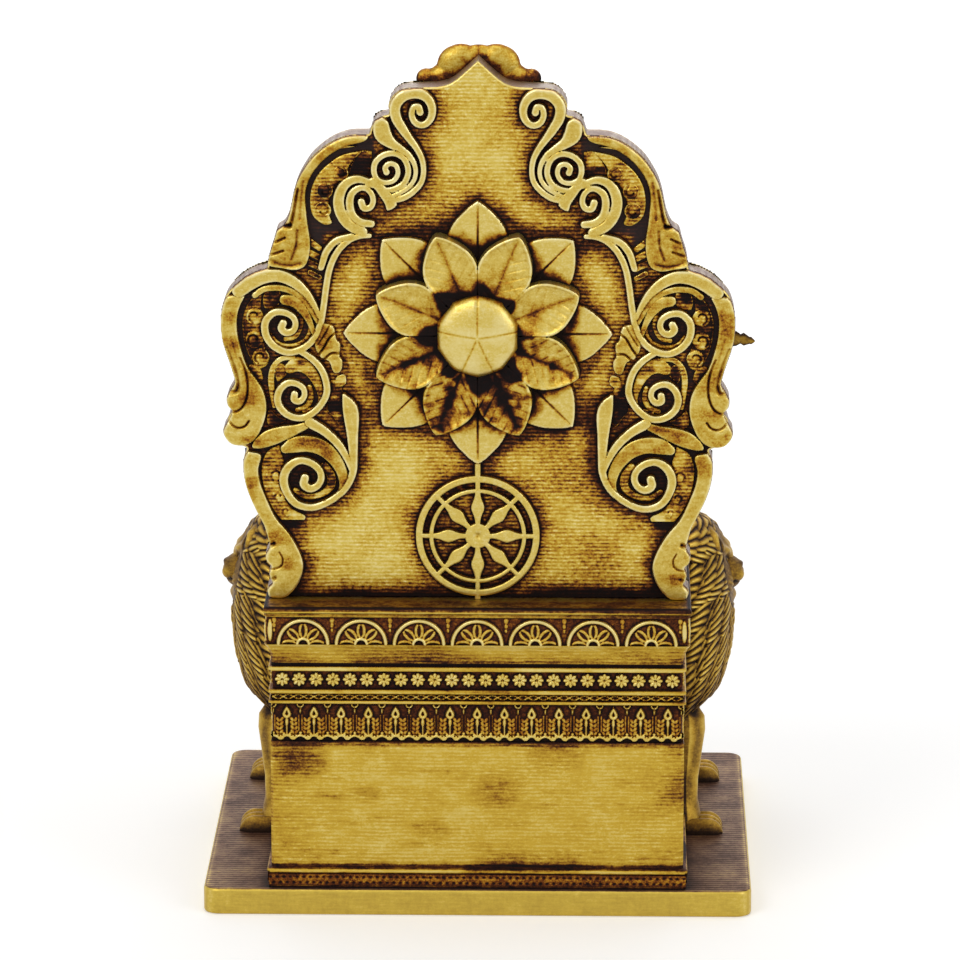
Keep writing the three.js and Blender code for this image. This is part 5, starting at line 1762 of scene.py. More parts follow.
@dataclass
class SeatBox:
    """The hollow box, its slab, and the carved strips in its courses."""

    shop: Workshop
    corner_cut: float = 0.5
    side_points: int = 141
    top_rings: int = 78
    panel_rows: int = 50
    cove_rows: int = 22
    rear_step: float = 0.12
    side_step: float = 0.19
    sunk: float = -0.85
    proud: float = 0.95

    def profile(self) -> Array:
        """Rows of (offset from the panel, height, tone) up the outside of the box; the tone is wear with
        painted light and shade.
        """
        s, sunk, proud = S, self.sunk, self.proud
        panel = np.linspace(s.panel_bottom + 1.1, s.panel_top - 1.3, self.panel_rows)
        cove = np.linspace(0.06, 1, self.cove_rows)
        return np.array([
            # tone: painted shade (0 and near it) where the box stands on the base, at the panel's foot and
            # top, and on the sunk grounds behind the strips; the beads lit on their bulge; the cove lighter
            # at its top and darker at its foot, a painted light and shadow, with a painted highlight (1.1)
            # on its edge.
            (0.5, s.base_top, 0.0), (0.5, s.base_top + 0.35, 0.25), (0.5, s.plinth_top - 0.3, 0.3),
            *moulding(s.plinth_top, s.panel_bottom - 0.25, 0.8),
            (0.0, s.panel_bottom, 0.10), (0.0, s.panel_bottom + 0.4, 0.45),
            *((0.0, z, 1.05) for z in panel),
            (0.0, s.panel_top - 0.5, 0.62), (-0.1, s.panel_top, 0.2),
            (sunk, s.panel_top + 0.02, 0.0), (sunk, s.frieze_top - 0.02, 0.0),
            *moulding(s.frieze_top, s.chain_bottom, 0.3),
            (-0.4, s.chain_bottom + 0.02, 0.1), (-0.4, s.chain_top - 0.02, 0.15),
            *moulding(s.chain_top, s.rosette_bottom, 0.3),
            (sunk, s.rosette_bottom + 0.02, 0.0), (sunk, s.rosette_top - 0.02, 0.0),
            *moulding(s.rosette_top - 0.75, s.cove_bottom - 0.42, 0.3, 1.12),
            (-0.35, s.cove_bottom - 0.38, 0.0), (-0.3, s.cove_bottom + 0.25, 0.05),
            *((-0.3 + 1.25 * t**2.2, s.cove_bottom + 4.0 * t, 0.50 + 0.70 * t**0.6) for t in cove),
            (proud, s.arcade_bottom + 0.02, 1.1), (0.1, s.arcade_bottom + 0.04, 0.0),
            (0.1, s.arcade_top - 0.02, 0.0), (0.9, s.arcade_top, 0.7), (proud, s.box_top, 0.8),
        ])

    def slab(self) -> Array:
        """Rows of (offset from the panel, height, tone) up the outside of the slab; the tone is dark at its
        foot on the box as painted shade, has a bright band high on the side as a painted highlight, and is
        dark where the edge rolls over onto the top.
        """
        low, top = S.box_top, S.seat_top
        return np.array([
            (0.95, low, 0.3), (1.0, low + 0.12, 0.7), (1.15, low + 0.35, 0.95), (1.15, top - 1.1, 1.05),
            (1.15, top - 0.85, 1.15), (1.12, top - 0.65, 0.60), (1.02, top - 0.35, 0.12),
            (0.86, top - 0.1, 0.03), (0.6, top, 0.03),
        ])

    def ring(self, offset: float) -> Array:
        """A closed ring of (x, y) about the box, at an offset, with bevelled corners."""
        hx, hy = S.box_half_x + offset, S.box_half_y + offset
        along = np.linspace(-1, 1, self.side_points)
        fx, fy = (hx - self.corner_cut) * along, (hy - self.corner_cut) * along
        sides = ((fx, -hy), (hx, fy), (-fx, hy), (-hx, -fy))
        ring = np.vstack([np.stack(np.broadcast_arrays(x, y), axis=1) for x, y in sides])
        return np.vstack([ring, ring[:1]])

    def walls(self, profile: Array) -> tuple[Array, Array]:
        """Points and tone of the rings of a profile, one above the other, with the profile's painted light
        and shade.
        """
        x, y = np.stack([self.ring(offset) for offset, _, _ in profile]).transpose(2, 0, 1)
        z, bright = (np.broadcast_to(profile[:, k, None], x.shape) for k in (1, 2))
        blotch = mottle(x + 3.1 * y, z, 8.0, 1.3, 11)
        cloud = mottle(x - 2.3 * y, z, 12.0, 7.0, 12)
        speck = mottle(x + 1.7 * y, z, 1.6, 0.7, 13)
        smudge = unit(cloud - 0.58) * 1.1 + unit(speck * blotch - 0.45) * 0.45
        side = 0.26 * smooth((np.abs(x) - 26.0) / 11.0) * cloud
        worn_and_shaded = bright - (0.10 * blotch + smudge + side) * (bright > 0.25)
        return np.stack([x, y + S.box_y, z], axis=-1), np.clip(worn_and_shaded, 0, TOP_TONE)

    def top(self, edge: Array) -> tuple[Array, Array]:
        """Points and tone of the seat, from its edge in to its middle, with painted shade beside the
        backrest's front face and a darker ledge behind the backrest.
        """
        share = np.linspace(1, 0, self.top_rings)[1:, None, None]
        centre = edge.mean(axis=0)
        points = centre + (edge - centre) * share
        points[..., 2] = S.seat_top
        x, y = points[..., 0], points[..., 1]
        rear = smooth((-36.0 - y) / 2.0)
        # painted shade on the seat beside the backrest's front face
        wall = np.exp(-np.clip(y - S.front_y, 0, None) / 1.5)
        seat = 0.86 - 0.26 * mottle(x, y, 7, 7, 4) - 0.18 * mottle(x, y, 2, 2, 14) - 0.6 * wall
        ledge = 0.42 + 0.22 * mottle(x, y, 5.0, 1.0, 15) + 0.20 * smooth((y + 40.4) / 0.9)
        return points, unit(seat * (1 - rear) + ledge * rear)

    def loft(self, profile: Array, closed: bool) -> Surface:
        """A square loft of the profile: each row is a ring with bevelled corners.

        Args:
            profile: rows of (offset, height, wear).
            closed: whether the seat closes it on top.

        Returns:
            The surface, faces outward.
        """
        parts = [self.walls(profile)]
        if closed:
            parts.append(self.top(parts[0][0][-1]))
        points, wear_and_shade = (np.concatenate(rows) for rows in zip(*parts))
        return Surface.grid(points, wear_and_shade).around(0, S.box_y, 30.0)

    def course(self, bottom: float, top: float, ground: float, carve: Callable, floor: float) -> dict:
        """The four carved sides of one course, by the word for the side.

        The tone is floor + 0.8 (h / 0.42)^0.7, less a dark line of painted shade beside what is raised and
        painted shade along the course's top and bottom edges.

        Args:
            bottom: lower edge in mm.
            top: upper edge in mm.
            ground: offset of the ground from the panel in mm.
            carve: height from x and z.
            floor: tone of the ground.

        Returns:
            The surfaces, faces outward.
        """
        sides = {
            "back": (back_place(S.box_y - S.box_half_y - ground), REARWARD),
            "front": (front_place(S.box_y + S.box_half_y + ground), (0, 1, 0)),
            "right": (side_place(S.box_half_x + ground, 1), (1, 0, 0)),
            "left": (side_place(S.box_half_x + ground, -1), (-1, 0, 0)),
        }
        half = S.box_half_x + ground - 0.02
        out = {}
        for word, (place, outward) in sides.items():
            step = self.rear_step if word == "back" else self.side_step
            xs = np.arange(-half, half + step, step)
            zs = np.linspace(bottom, top, max(int((top - bottom) / step), 8))
            x, z = np.meshgrid(xs, zs, indexing="ij")
            h = carve(x, z)
            wall = np.minimum(z - bottom, top - z)
            # painted shade beside raised carving
            near = unit(blur(h, 0.26 / step) - h)
            tone = floor + 0.80 * unit(h / 0.42) ** 0.7 - 2.6 * near
            # painted shade along the course's top and bottom edges
            tone = tone - 0.35 * np.exp(-wall / 0.22) * (h < 0.3)
            tone = tone + 0.12 * (mottle(x, z, 2.5, 1.5, 8) - 0.5)
            out[word] = Surface.grid(place(x, z, h), np.clip(tone, 0, 1.1)).facing(outward)
        return out

    def build(self) -> None:
        """Adds the box, the slab, the strips and the small bands."""
        s, shop = S, self.shop
        shop.add("seat_box_shell", self.loft(self.profile(), False), PANEL, "seat_box", 35)
        shop.add("seat_slab_shell", self.loft(self.slab(), True), PANEL, "seat_slab", 35)
        for strip, *course in (
            ("palmette_strip", s.panel_top, s.frieze_top, -0.5, palmette_height, 0.20),
            ("rosette_strip", s.rosette_bottom, s.rosette_top, -0.5, rosette_height, 0.22),
            ("arcade_strip", s.arcade_bottom, s.arcade_top, 0.45, arcade_height, 0.30),
        ):
            for word, surface in self.course(*course).items():
                node = f"{strip}_{word}"
                shop.add(f"{node}_carving", surface, CARVED, node, 60)
        for name, *course in (
            ("chain_band", s.chain_bottom, s.chain_top, -0.38, chain_height, 0.12),
            ("plinth_band", s.base_top + 0.6, s.plinth_top - 0.2, 0.52, net_height, 0.0),
        ):
            shop.add(name, joined(list(self.course(*course).values())), CARVED, "", 60)


# Base plate


@dataclass
class Base:
    """The plate under the throne, with rounded corners and edges."""

    shop: Workshop
    corner_points: int = 9
    side_points: int = 49
    wall_rows: int = 8
    edge_rows: int = 7
    top_rings: int = 150
    edge: float = 0.7

    # corners as (sign of x, sign of y, start of the arc in degrees)
    CORNERS = ((1, -1, -90), (1, 1, 0), (-1, 1, 90), (-1, -1, 180))

    def ring(self, inset: float, z: float, share: float = 1.0) -> Array:
        """One rounded rectangle of points at height z, drawn in by inset and share."""
        r = S.base_corner
        arcs = []
        for sx, sy, start in self.CORNERS:
            a = np.radians(np.linspace(start, start + 90, self.corner_points))
            middle = sx * (S.base_width / 2 - r), sy * (S.base_depth / 2 - r)
            arcs.append(middle + (r - inset) * np.stack([np.cos(a), np.sin(a)], 1))
        t = np.linspace(0, 1, self.side_points)[1:-1, None]
        sides = [arc[-1] + (after[0] - arc[-1]) * t for arc, after in zip(arcs, arcs[1:] + arcs[:1])]
        ring = np.vstack([part for pair in zip(arcs, sides) for part in pair] + [arcs[0][:1]])
        return np.column_stack([ring * share, np.full(len(ring), z)])

    def build(self) -> None:
        """Adds the plate."""
        t, edge = S.base_top, self.edge
        rows = [(0.5, 0.0), (0.12, 0.15), (0.0, 0.5)]
        rows += [(0.0, z) for z in np.linspace(0.9, t - 0.9, self.wall_rows)]
        rows += [
            (edge * (1 - math.cos(a)), t - edge + edge * math.sin(a))
            for a in np.linspace(0, math.pi / 2, self.edge_rows)
        ]
        rows += [(edge, t, share) for share in np.linspace(0.995, 0.02, self.top_rings)]
        points = np.stack([self.ring(*row) for row in rows])
        x, y, z = points[..., 0], points[..., 1], points[..., 2]
        # the sides are paler than rubbed brass, painted light, with a painted highlight along the top
        # edge's rounding
        side = 1.10 - 0.10 * mottle(x + 2.0 * y, z, 12.0, 9.0, 21)
        side = side + 0.15 * bell(z - t + 0.25, 0.2)
        top = 0.16 + 0.26 * mottle(x, y, 6.0, 4.0, 22) + 0.12 * mottle(x, y, 14.0, 14.0, 24)
        out = np.maximum(np.abs(x) - 50.3, np.abs(y) - 44.8)
        wall = np.maximum(np.abs(x) - 38.8, np.abs(y - S.box_y) - 39.3)
        # a painted highlight along the outer edge of the top, and painted shade on the top beside the box's
        # walls
        top = top + 0.25 * np.exp(-np.abs(out) / 0.3)
        top = top - 0.30 * np.exp(-np.clip(wall, 0, None) / 1.6)
        wear_and_shade = unit(np.where(z > t - 0.12, top, side))
        surface = Surface.grid(points, wear_and_shade).around(0, 0, t / 2)
        foot = np.stack([self.ring(0.5, 0.0, k) for k in (1.0, 0.5, 0.01)])
        bottom = Surface.grid(foot, np.full(foot.shape[:2], 0.4)).facing((0, 0, -1))
        self.shop.add("base_plate_shell", joined([surface, bottom]), PLATE_TOP, "base_plate", 40)


# Crest and leaf tip


@dataclass
class Crest:
    """The leaf finial on the front, whose lobes show above the backrest's point."""

    shop: Workshop
    top: float = 161.4
    middle_z: float = 151.4
    rings: int = 60
    turns: int = 361
    round_off: float = 3.0
    rear_swell: float = 1.75
    front_swell: float = 3.2
    veins: int = 12
    tip_from: float = 43.9
    tip_long: float = 6.9
    tip_z: float = 106.9

    # circles as (x, z below the top, radius) that make the right half of the outline
    LOBES = [(3.2, -4.3, 4.25), (3.9, -4.0, 3.7), (9.6, -6.45, 1.85), (5.5, -8.0, 4.6), (0.0, -5.3, 5.15)]

    def signed(self, x: Array, z: Array) -> Array:
        """Signed distance of the lobes and of the leaf's body below them."""
        v = z - self.top
        lobes = [r - np.hypot(np.abs(x) - cx, v - cz) for cx, cz, r in self.LOBES]
        body = np.minimum(7.0 - 0.12 * (-9.0 - v) - np.abs(x), np.minimum(-6.5 - v, v + 22.0))
        return np.maximum.reduce([*lobes, body])

    def lobes(self) -> None:
        """Adds the crest, pillowed on both faces, with veins that run out on the front."""
        middle = S.front_y + 1.8
        turn = np.linspace(0, 2 * math.pi, self.turns)[None, :]
        ray, rise = np.cos(turn), np.sin(turn)
        far = np.linspace(0, 16, 1601)[:, None]
        edge = (far * (self.signed(far * ray, self.middle_z + far * rise) > 0)).max(axis=0)
        for _ in range(6):
            edge = (np.append(edge[1:], edge[1]) + 2 * edge + np.append(edge[-2], edge[:-1])) / 4
        share = np.sin(np.linspace(0, math.pi / 2, self.rings))[:, None]
        x, z = share * edge * ray, self.middle_z + share * edge * rise
        s = np.clip(self.signed(x, z), 0, None) * (share < 1)
        pillow = np.sqrt(unit(1 - (1 - unit(s / self.round_off)) ** 2))
        pillow = pillow * (1 - 0.16 * bell(x, 1.6))
        line = on_back(OUTLINE[-9:])[::-1]
        above = z - np.interp(np.abs(x), line[:, 0], line[:, 1])
        darkened = smooth((2.0 + 1.6 * (mottle(x, z, 1.3, 1.3, 33) - 0.5) - above) / 1.8)
        tone = 0.82 - 0.66 * darkened * (z > 150)
        tone = tone - 0.30 * smooth((0.6 - s) / 0.6) - 0.3 * (z < 150)
        rear = np.stack([x, middle - self.rear_swell * pillow, z], -1)
        vein = bell(np.sin(self.veins / 2 * (turn - math.pi / 2)), 0.22)
        vein = vein * smooth(share * edge / 4 - 0.3) * smooth(s / 0.8)
        front = np.stack([x, middle + self.front_swell * pillow - 0.5 * vein, z], -1)
        bright = 0.98 - 0.62 * vein - 0.22 * mottle(x, z, 3.0, 3.0, 34) - 0.4 * smooth((0.7 - s) / 0.7)
        tones = np.clip(np.concatenate([tone, bright[::-1]]), 0.03, 1.0)
        crest = Surface.grid(np.concatenate([rear, front[::-1]]), tones)
        crest = crest.around(0, middle, self.middle_z)
        self.shop.add("crest_leaf_lobes", crest, CARVED, "crest_leaf", 60)

    def side_tip(self) -> None:
        """Adds the small leaf tip that stands out of the front on one side."""
        t = np.linspace(0, 1, 40)[:, None]
        a = np.linspace(0, 2 * math.pi, 49)[None, :]
        marks, sizes = [0, 0.25, 0.5, 0.62, 0.7, 0.86, 0.9, 1], [0.7, 1, 0.95, 0.6, 0.85, 0.45, 0.5, 0.1]
        size = (1 + 0.22 * np.cos(3 * a + 1.5 * t)) * np.interp(t, marks, sizes)
        x = self.tip_from + self.tip_long * t * np.ones_like(a)
        y = S.front_y + 0.05 + np.clip(np.cos(a) * size, 0, None) * 2.0
        z = self.tip_z + np.sin(a) * size * 1.35 - 0.4 * smooth((t - 0.5) / 0.5)
        wear_and_shade = 0.20 + 0.5 * np.abs(np.sin(1.5 * a)) * np.ones_like(t)
        tip = Surface.grid(np.stack([x, y, z], axis=-1), wear_and_shade).around(47, -30.5, self.tip_z)
        self.shop.add("side_leaf_tip_shape", tip, AGED, "side_leaf_tip", 50)

    def build(self) -> None:
        """Adds both leaves."""
        self.lobes()
        self.side_tip()


# Lions


@dataclass
class Lion:
    """One seated lion at the side of the box: mane with hair locks, face and forelegs."""

    shop: Workshop
    side: Side
    face_z: float = 53.2
    inner: float = 37.2
    most: float = 49.6
    mane_rows: int = 300
    mane_columns: int = 276
    run_radius: float = 13.0
    lock_long: float = 8.4
    lock_wide: float = 2.9
    lock_pitch: tuple = (4.4, 6.2)
    strand: float = 1.10
    foot_spread: float = 17.3
    knee_spread: float = 12.7
    leg_height: float = 22.0

    # height, reach outward from the axis x, half width along y
    MANE = np.array([
        [27.0, 41.6, 16.4], [29.0, 44.0, 16.8], [31.0, 45.7, 16.9], [35.4, 47.1, 17.0],
        [39.6, 47.8, 16.9], [45.1, 48.0, 16.2], [49.4, 47.8, 15.2], [52.5, 47.6, 14.2],
        [55.5, 47.0, 13.0], [58.0, 46.0, 11.2], [60.0, 44.9, 9.0], [62.0, 43.4, 6.0],
        [63.2, 41.5, 2.6],
    ])
    # height, and how far out the box stands there with a small gap
    WALL = np.array([
        [0, 39.1], [9, 39.1], [9.01, 38.3], [33.2, 38.3], [33.21, 38.6], [48.0, 38.6], [52.0, 39.3],
        [57.3, 39.3], [57.31, 39.5], [59.3, 39.5], [59.35, 37.2], [70, 37.2],
    ])
    # share of the leg's height, reach outward from x 38, half width along y
    LEG = np.array([
        [0, 4.0, 3.9], [0.06, 4.3, 3.8], [0.16, 4.0, 3.4], [0.26, 3.6, 3.0], [0.45, 3.5, 2.8],
        [0.68, 4.1, 3.1], [0.86, 4.7, 3.7], [0.98, 4.6, 3.7], [1.05, 3.6, 3.0], [1.1, 0.8, 1.0],
    ])

    def placed(self, x: Array, y: Array, z: Array, wear_and_shade: Array) -> Surface:
        """A grid of points on this lion's side."""
        return Surface.grid(np.stack([self.side.value * x, y, z], axis=-1), wear_and_shade)

    def wall(self, z: Array) -> Array:
        """How far out the box stands at each height."""
        return np.interp(z, *self.WALL.T)

    def mane(self) -> Surface:
        """Mane and chest, a half-round loft with locks of hair.

        The reach at height z and angle a is inner + (R(z) - inner) sin(a)^0.8; the locks
        are leaf-shaped domes with S-shaped strands, laid as shingles from the bottom up.
        The first column again makes the flat inner side, and the end rows shrink to a
        point.
        """
        heights, turns = np.linspace(27.0, 63.2, self.mane_rows), np.linspace(0, math.pi, self.mane_columns)
        z, a = np.meshgrid(heights, turns, indexing="ij")
        curve = smooth_path(self.MANE, 8)
        reach, half = (np.interp(z, curve[:, 0], curve[:, k]) for k in (1, 2))
        run = (a - math.pi / 2) * self.run_radius
        lift, tone = self.locks(run, z)
        share, face_lift, face_tone = self.face(run, z)
        lift, tone = lift + (face_lift - lift) * share, tone + (face_tone - tone) * share
        fade = smooth(np.sin(a) / 0.2)
        x = self.inner + (reach - self.inner) * np.sin(a) ** 0.8 + 0.85 * lift * fade * np.sin(a) ** 0.5
        y = S.lion_y - (half + 0.75 * lift * fade) * np.cos(a)
        x = np.minimum(np.maximum(x, self.wall(z)), self.most)
        # painted shade: darker low on the mane and where it turns in to meet the box
        tone = tone * (0.55 + 0.45 * smooth((z - 28) / 8)) * (0.45 + 0.55 * fade)
        rows = [np.pad(v, ((0, 0), (0, 1)), mode="wrap") for v in (x, y, z)]
        rows = [np.pad(v, ((1, 1), (0, 0)), mode="edge") for v in rows]
        for v in rows:
            v[0], v[-1] = v[0].mean(), v[-1].mean()
        mane = self.placed(*rows, np.pad(tone, ((1, 1), (0, 1)), mode="edge"))
        return mane.around(self.side.value * 38.0, S.lion_y, 45.0)

    def locks(self, run: Array, z: Array) -> tuple[Array, Array]:
        """Height and brightness of the mane's hanks of hair.

        Each hank is a long half-round drop that leaves the face and falls in an S. Its
        strands cross it at a slant, like a rope's, and its tip lies on the hank below.

        Args:
            run: arc coordinate around the mane in mm, 0 facing outward.
            z: height in mm.

        Returns:
            Lift (about -0.6..1) and tone grids; the tone is painted light and shade: dark in the gaps
            between hanks and in the strands' grooves, bright on the strands and along each hank's crown.
        """
        # 0.06 between the hanks: painted shade in the gaps
        lift, tone = np.full(run.shape, -0.45), np.full(run.shape, 0.06)
        rng = np.random.default_rng(41)
        across, up = self.lock_pitch
        for row in range(6):
            for col in range(-5, 6):
                cx = (col + 0.5 * (row % 2)) * across + rng.uniform(-0.5, 0.5)
                cz = 30.5 + row * up + rng.uniform(-1.0, 1.0)
                far = math.hypot(cx, cz - self.face_z) + 1e-6
                dx, dz = 0.66 * cx / far, 0.66 * (cz - self.face_z) / far - 0.75
                far = math.hypot(dx, dz)
                dx, dz = dx / far, dz / far
                hand = -1 if cx < 0 else 1
                sway = rng.uniform(0.9, 1.7) * hand
                down = ((run - cx) * dx + (z - cz) * dz) / self.lock_long
                u = (run - cx) * dz - (z - cz) * dx - sway * np.sin(down * 2.3 + 0.5)
                span = unit(1 - down**2)
                half = self.lock_wide * span**0.55 * (1.0 - 0.22 * down) + 1e-3
                body = unit(1 - (u / half) ** 2) * (span > 0)
                slant = 0.62 * self.lock_long * down + hand * (0.78 * u + 0.10 * u**2)
                comb = np.abs(np.sin(slant * math.pi / self.strand + cx))
                rise = (0.65 + 0.40 * down) * body**0.5
                on = (body > 0.03) & (rise > lift + 0.12)
                lift = np.where(on, rise - 0.52 * (1 - comb**0.7), lift)
                # painted light: bright strands with dark grooves, and each hank bright on its crown and
                # dark at its sides
                worn_and_shaded = (0.08 + 1.05 * comb**1.3) * (0.03 + 1.05 * body**0.9)
                tone = np.where(on, worn_and_shaded * (0.80 + 0.22 * down), tone)
        return lift, tone

    def face(self, run: Array, z: Array) -> tuple[Array, Array, Array]:
        """Share of the face in the mane's surface, and its height and brightness.

        Args:
            run: arc coordinate around the mane in mm.
            z: height in mm.

        Returns:
            Share 0..1, lift in mm, and tone: brighter where raised, with painted shade round the face, in
                the eye sockets and in the whiskers' grooves, and a painted highlight on the eyeballs.
        """
        u, v = np.abs(run), z - self.face_z

        def bump(across: float, up: float, wide: float, tall: float) -> Array:
            """A bell at a place on the face and its mirror image."""
            return bell(u - across, wide, v - up, tall)

        slant = v - 0.30 * (u - 2.9)
        eye = bell(u - 2.9, 1.25, slant - 1.6, 0.62)
        ball = bell(u - 2.9, 0.6, slant - 1.6, 0.42)
        brow = bell(u - 2.9, 2.0, slant - 3.5, 0.8)
        oval = 1 - np.hypot(run / 7.4, v / 8.6)
        lift = 0.35 + 1.1 * brow + 0.8 * bump(4.3, -2.6, 1.7, 2.0) - 1.2 * eye + 1.1 * ball
        lift = lift + 0.9 * bump(0.0, 2.2, 1.3, 3.6) + 0.8 * bump(0.0, -5.9, 1.9, 1.1)
        whisker = np.abs(np.sin((0.5 * u - v) * 2.6)) * bump(4.6, -3.0, 1.4, 2.4)
        ear = 2.1 * bump(6.7, 6.1, 1.7, 1.7) - 1.7 * bump(6.5, 5.8, 0.8, 0.9)
        share = np.maximum(smooth(oval / 0.16 + 0.2), smooth((ear - 0.2) / 0.3))
        lift = np.maximum((lift - 0.25 * whisker) * smooth(oval / 0.1), 0) + ear
        # painted shade where the face meets the mane; dark eye sockets and whiskers' grooves are painted
        # shade, the bright eyeballs a painted highlight
        rim = 0.40 * bell(oval, 0.10)
        tone = 0.34 + 0.44 * lift - rim - 0.42 * eye + 0.7 * ball - 0.22 * whisker
        return share, lift, np.clip(tone, 0.03, 1.0)

    def muzzle(self) -> Surface:
        """The muzzle: a flattened ball with a nose, a cleft lip and two cheeks."""
        lat = np.linspace(0.02, math.pi - 0.02, 80)[:, None]
        lon = np.linspace(0, 2 * math.pi, 105)[None, :]
        dx, dy, dz = np.sin(lat) * np.cos(lon), np.sin(lat) * np.sin(lon), np.cos(lat) + 0 * lon
        side = np.abs(dy)
        pads = 0.16 * bell(side - 0.40, 0.34, dz + 0.05, 0.32)
        nose = 0.14 * bell(dy, 0.36, dz - 0.48, 0.16)
        lip = 0.15 * bell(dy, 0.08) * smooth((0.34 - dz) / 0.1) * smooth((dz + 0.5) / 0.1)
        mouth = 0.17 * bell(dz + 0.48 - 0.9 * (side - 0.4) ** 2, 0.08) * (side < 0.85)
        r = 1 + (pads + nose - lip - mouth) * (dx > 0)
        middle = self.face_z - 1.6
        x = np.clip(46.6 + 3.4 * r * np.sign(dx) * np.abs(dx) ** 0.8, 42.0, 50.6)
        # painted shade in the lip's cleft and the mouth's groove; brighter on the cheeks, darker on the
        # nose
        wear_and_shade = np.clip(0.52 + 2.4 * pads - 1.6 * nose - 3.0 * (lip + mouth), 0.03, 0.95)
        ball = self.placed(x, S.lion_y + 3.7 * r * dy, middle + 3.4 * r * dz, wear_and_shade)
        return ball.around(self.side.value * 46.0, S.lion_y, middle)

    def shank(self, row: int) -> Surface:
        """A half-round shank that widens into a paw."""
        t = np.linspace(0, 1.1, 84)[:, None]
        a = np.linspace(0, math.pi, 49)[None, :]
        z = S.base_top + self.leg_height * t + 0 * a
        reach, half = (np.interp(t, self.LEG[:, 0], self.LEG[:, k]) for k in (1, 2))
        sinew = 0.22 * np.cos(a * 5 + 1.2 * np.sin(t * 6)) * smooth((t - 0.2) / 0.2)
        x = np.maximum(38.0 + (reach + sinew) * np.sin(a) ** 0.8, self.wall(z))
        spread = self.foot_spread + (self.knee_spread - self.foot_spread) * t
        y = S.lion_y + row * spread - half * np.cos(a)
        # painted light: brighter on the sinews' ridges; painted shade where the shank meets the box and at
        # its top under the mane
        tone = 0.74 + 1.1 * sinew + 0.3 * (mottle(y * 2, z, 2, 4, 51) - 0.5)
        tone = unit(tone - 0.45 * (np.sin(a) < 0.3) - 0.5 * smooth((t - 0.95) / 0.1))
        return self.placed(x, y, z, tone).around(self.side.value * 37.0, S.lion_y + row * 15, 16.0)

    def toe(self, y: float) -> Surface:
        """One toe, a flattened half-round drop that points outward."""
        b = np.linspace(0, math.pi, 17)[None, :]
        s = np.linspace(0, 1, 30)[:, None]
        size = np.sqrt(np.clip(1 - ((s - 0.62) / np.where(s > 0.62, 0.385, 1.2)) ** 2, 0.01, 1))
        x = np.maximum(38.4 + 7.9 * s + 0 * b, 39.2)
        # painted light: bright on the toe's top, dark at its sides where it meets the base
        worn_and_shaded = unit(0.10 + 0.72 * np.sin(b) * (0.6 + 0.4 * s))
        piece = self.placed(x, y - 1.66 * size * np.cos(b), S.base_top + 2.9 * size * np.sin(b), worn_and_shaded)
        return piece.around(self.side.value * 42.0, y, S.base_top)

    def build(self) -> None:
        """Adds the lion's bust and its two forelegs."""
        word = self.side.word
        bust = joined([self.mane(), self.muzzle()])
        self.shop.add(f"lion_mane_{word}", bust, AGED, f"lion_bust_{word}", 75)
        for leg, row in (("near", -1), ("far", 1)):
            paw = S.lion_y + row * self.foot_spread
            parts = [self.shank(row), *(self.toe(paw + k * 2.4) for k in (-1, 0, 1))]
            node = f"lion_{leg}_foreleg_{word}"
            self.shop.add(f"{node}_shape", joined(parts), AGED, node, 60)


# Scene


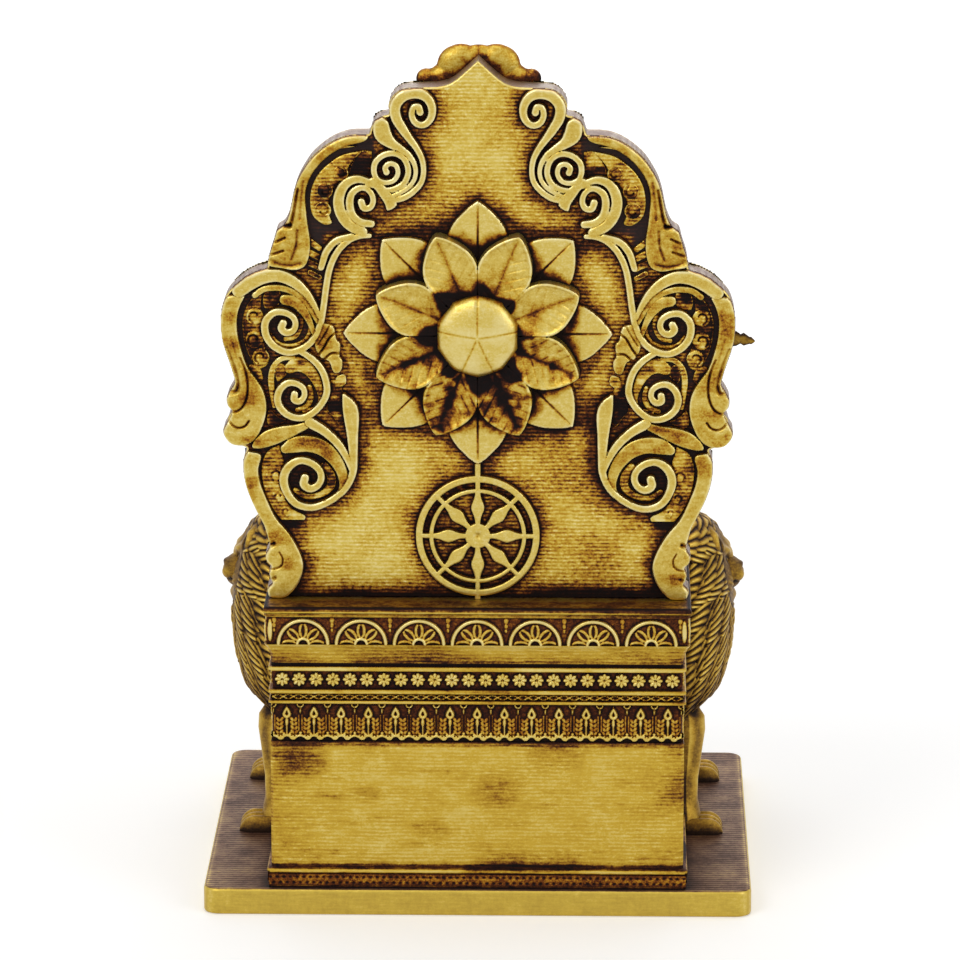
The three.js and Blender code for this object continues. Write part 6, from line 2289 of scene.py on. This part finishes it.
@dataclass
class Studio:
    """Camera, lights, floor and backdrop. Places are in metres about the throne's foot."""

    eye: tuple = (22.03 * MM, -1096.96 * MM, 345.78 * MM)
    tilt: float = math.radians(14.0)
    turn: float = math.radians(1.17)
    focal_pixels: float = 5937.0
    picture_pixels: float = 960.0
    sensor_mm: float = 36.0
    target: tuple = (0.0, 0.0, 0.08)
    floor_half: float = 3.0
    floor_glow: tuple = (0.26, 0.55)
    glow_reach: tuple = (0.25, 1.5)
    world_light: float = 0.47
    world_seen: float = 0.53

    # name, place, size of the side and power in watts
    LAMPS = (
        ("key_left", (-0.55, -0.75, 0.85), 0.5, 2.85),
        ("key_right", (0.80, -0.60, 0.60), 0.5, 1.5),
        ("top", (0.0, 0.1, 1.1), 0.7, 2.5),
        ("front_fill", (0.0, 0.9, 0.5), 0.8, 1.8),
    )

    def hang(self, name: str, data: bpy.types.ID) -> bpy.types.Object:
        """An object for a camera, lamp or mesh, in the scene."""
        obj = bpy.data.objects.new(name, data)
        bpy.context.scene.collection.objects.link(obj)
        return obj

    def camera(self) -> None:
        """A long lens behind the throne, 14 degrees above it."""
        data = bpy.data.cameras.new("camera")
        data.sensor_width = self.sensor_mm
        data.lens = self.focal_pixels / self.picture_pixels * self.sensor_mm
        data.clip_start, data.clip_end = 0.05, 50.0
        cam = self.hang("camera", data)
        cam.location = self.eye
        cam.rotation_euler = (math.pi / 2 - self.tilt, 0.0, self.turn)
        bpy.context.scene.camera = cam

    def lamp(self, name: str, place: tuple, size: float, power: float) -> None:
        """A square soft light at a place, aimed at the throne."""
        data = bpy.data.lights.new(name, "AREA")
        data.shape, data.size, data.energy = "SQUARE", size, power
        lamp = self.hang(name, data)
        lamp.location = place
        aim = Vector(self.target) - Vector(place)
        lamp.rotation_euler = aim.to_track_quat("-Z", "Y").to_euler()

    def seen(self, nodes: Nodes, gain: object) -> bpy.types.NodeSocket:
        """The gain for rays that show things, and 0 for rays that light."""
        path = nodes.add("LightPath").outputs
        sight = path["Is Camera Ray"]
        for kind in ("Is Glossy Ray", "Is Transmission Ray"):
            sight = nodes.maths("MAXIMUM", sight, path[kind])
        return nodes.times(sight, gain)

    def floor(self) -> None:
        """A pale floor that shows white beside the object but keeps its soft shadow.

        Far from the lamps it glows more, so it stays as white as near them.
        """
        mesh = bpy.data.meshes.new("floor")
        r = self.floor_half
        mesh.from_pydata([(-r, -r, 0), (r, -r, 0), (r, r, 0), (-r, r, 0)], [], [(0, 1, 2, 3)])
        mat = bpy.data.materials.new("pale_floor")
        mat.use_nodes = True
        nodes = Nodes(mat.node_tree)
        place = nodes.add("TexCoord").outputs["Object"]
        far = nodes.add("VectorMath", {0: place}, operation="LENGTH").outputs["Value"]
        steps = dict(enumerate((far, *self.glow_reach, *self.floor_glow)))
        glow = nodes.add("MapRange", steps).outputs["Result"]
        shader = mat.node_tree.nodes["Principled BSDF"].inputs
        for name, value in (
            ("Base Color", (0.92, 0.92, 0.92, 1)), ("Roughness", 0.9), ("Specular IOR Level", 0.1),
            ("Emission Color", (1, 1, 1, 1)), ("Emission Strength", self.seen(nodes, glow)),
        ):
            nodes.feed(shader[name], value)
        mesh.materials.append(mat)
        self.hang("floor", mesh)

    def world(self) -> None:
        """White behind the object and in its reflections, half as bright as light."""
        world = bpy.data.worlds.new("studio")
        world.use_nodes = True
        bpy.context.scene.world = world
        nodes = Nodes(world.node_tree)
        sky = world.node_tree.nodes["Background"].inputs
        sky["Color"].default_value = (1, 1, 1, 1)
        nodes.feed(sky["Strength"], nodes.total(self.seen(nodes, self.world_seen), self.world_light))

    def build(self) -> None:
        """Makes the whole setting."""
        bpy.context.scene.view_settings.view_transform = "Standard"
        self.camera()
        self.world()
        self.floor()
        for lamp in self.LAMPS:
            self.lamp(*lamp)


def main() -> None:
    logging.basicConfig(level=logging.INFO, format="%(message)s")
    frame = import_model()
    shop = Workshop(frame)
    backrest = Backrest(shop)
    backrest.plate()
    backrest.carve()
    backrest.lotus.build(shop, backrest.back)
    backrest.wheel.build(shop, backrest.back)
    SeatBox(shop).build()
    Base(shop).build()
    Crest(shop).build()
    for side in Side:
        Lion(shop, side).build()
    for name, node in frame["nodes"].items():
        if name.startswith(("base_screw", "lion_bolt")):
            node.data.materials.clear()
            node.data.materials.append(shop.material(STEEL))
    Studio().build()


if __name__ == "__main__":
    main()
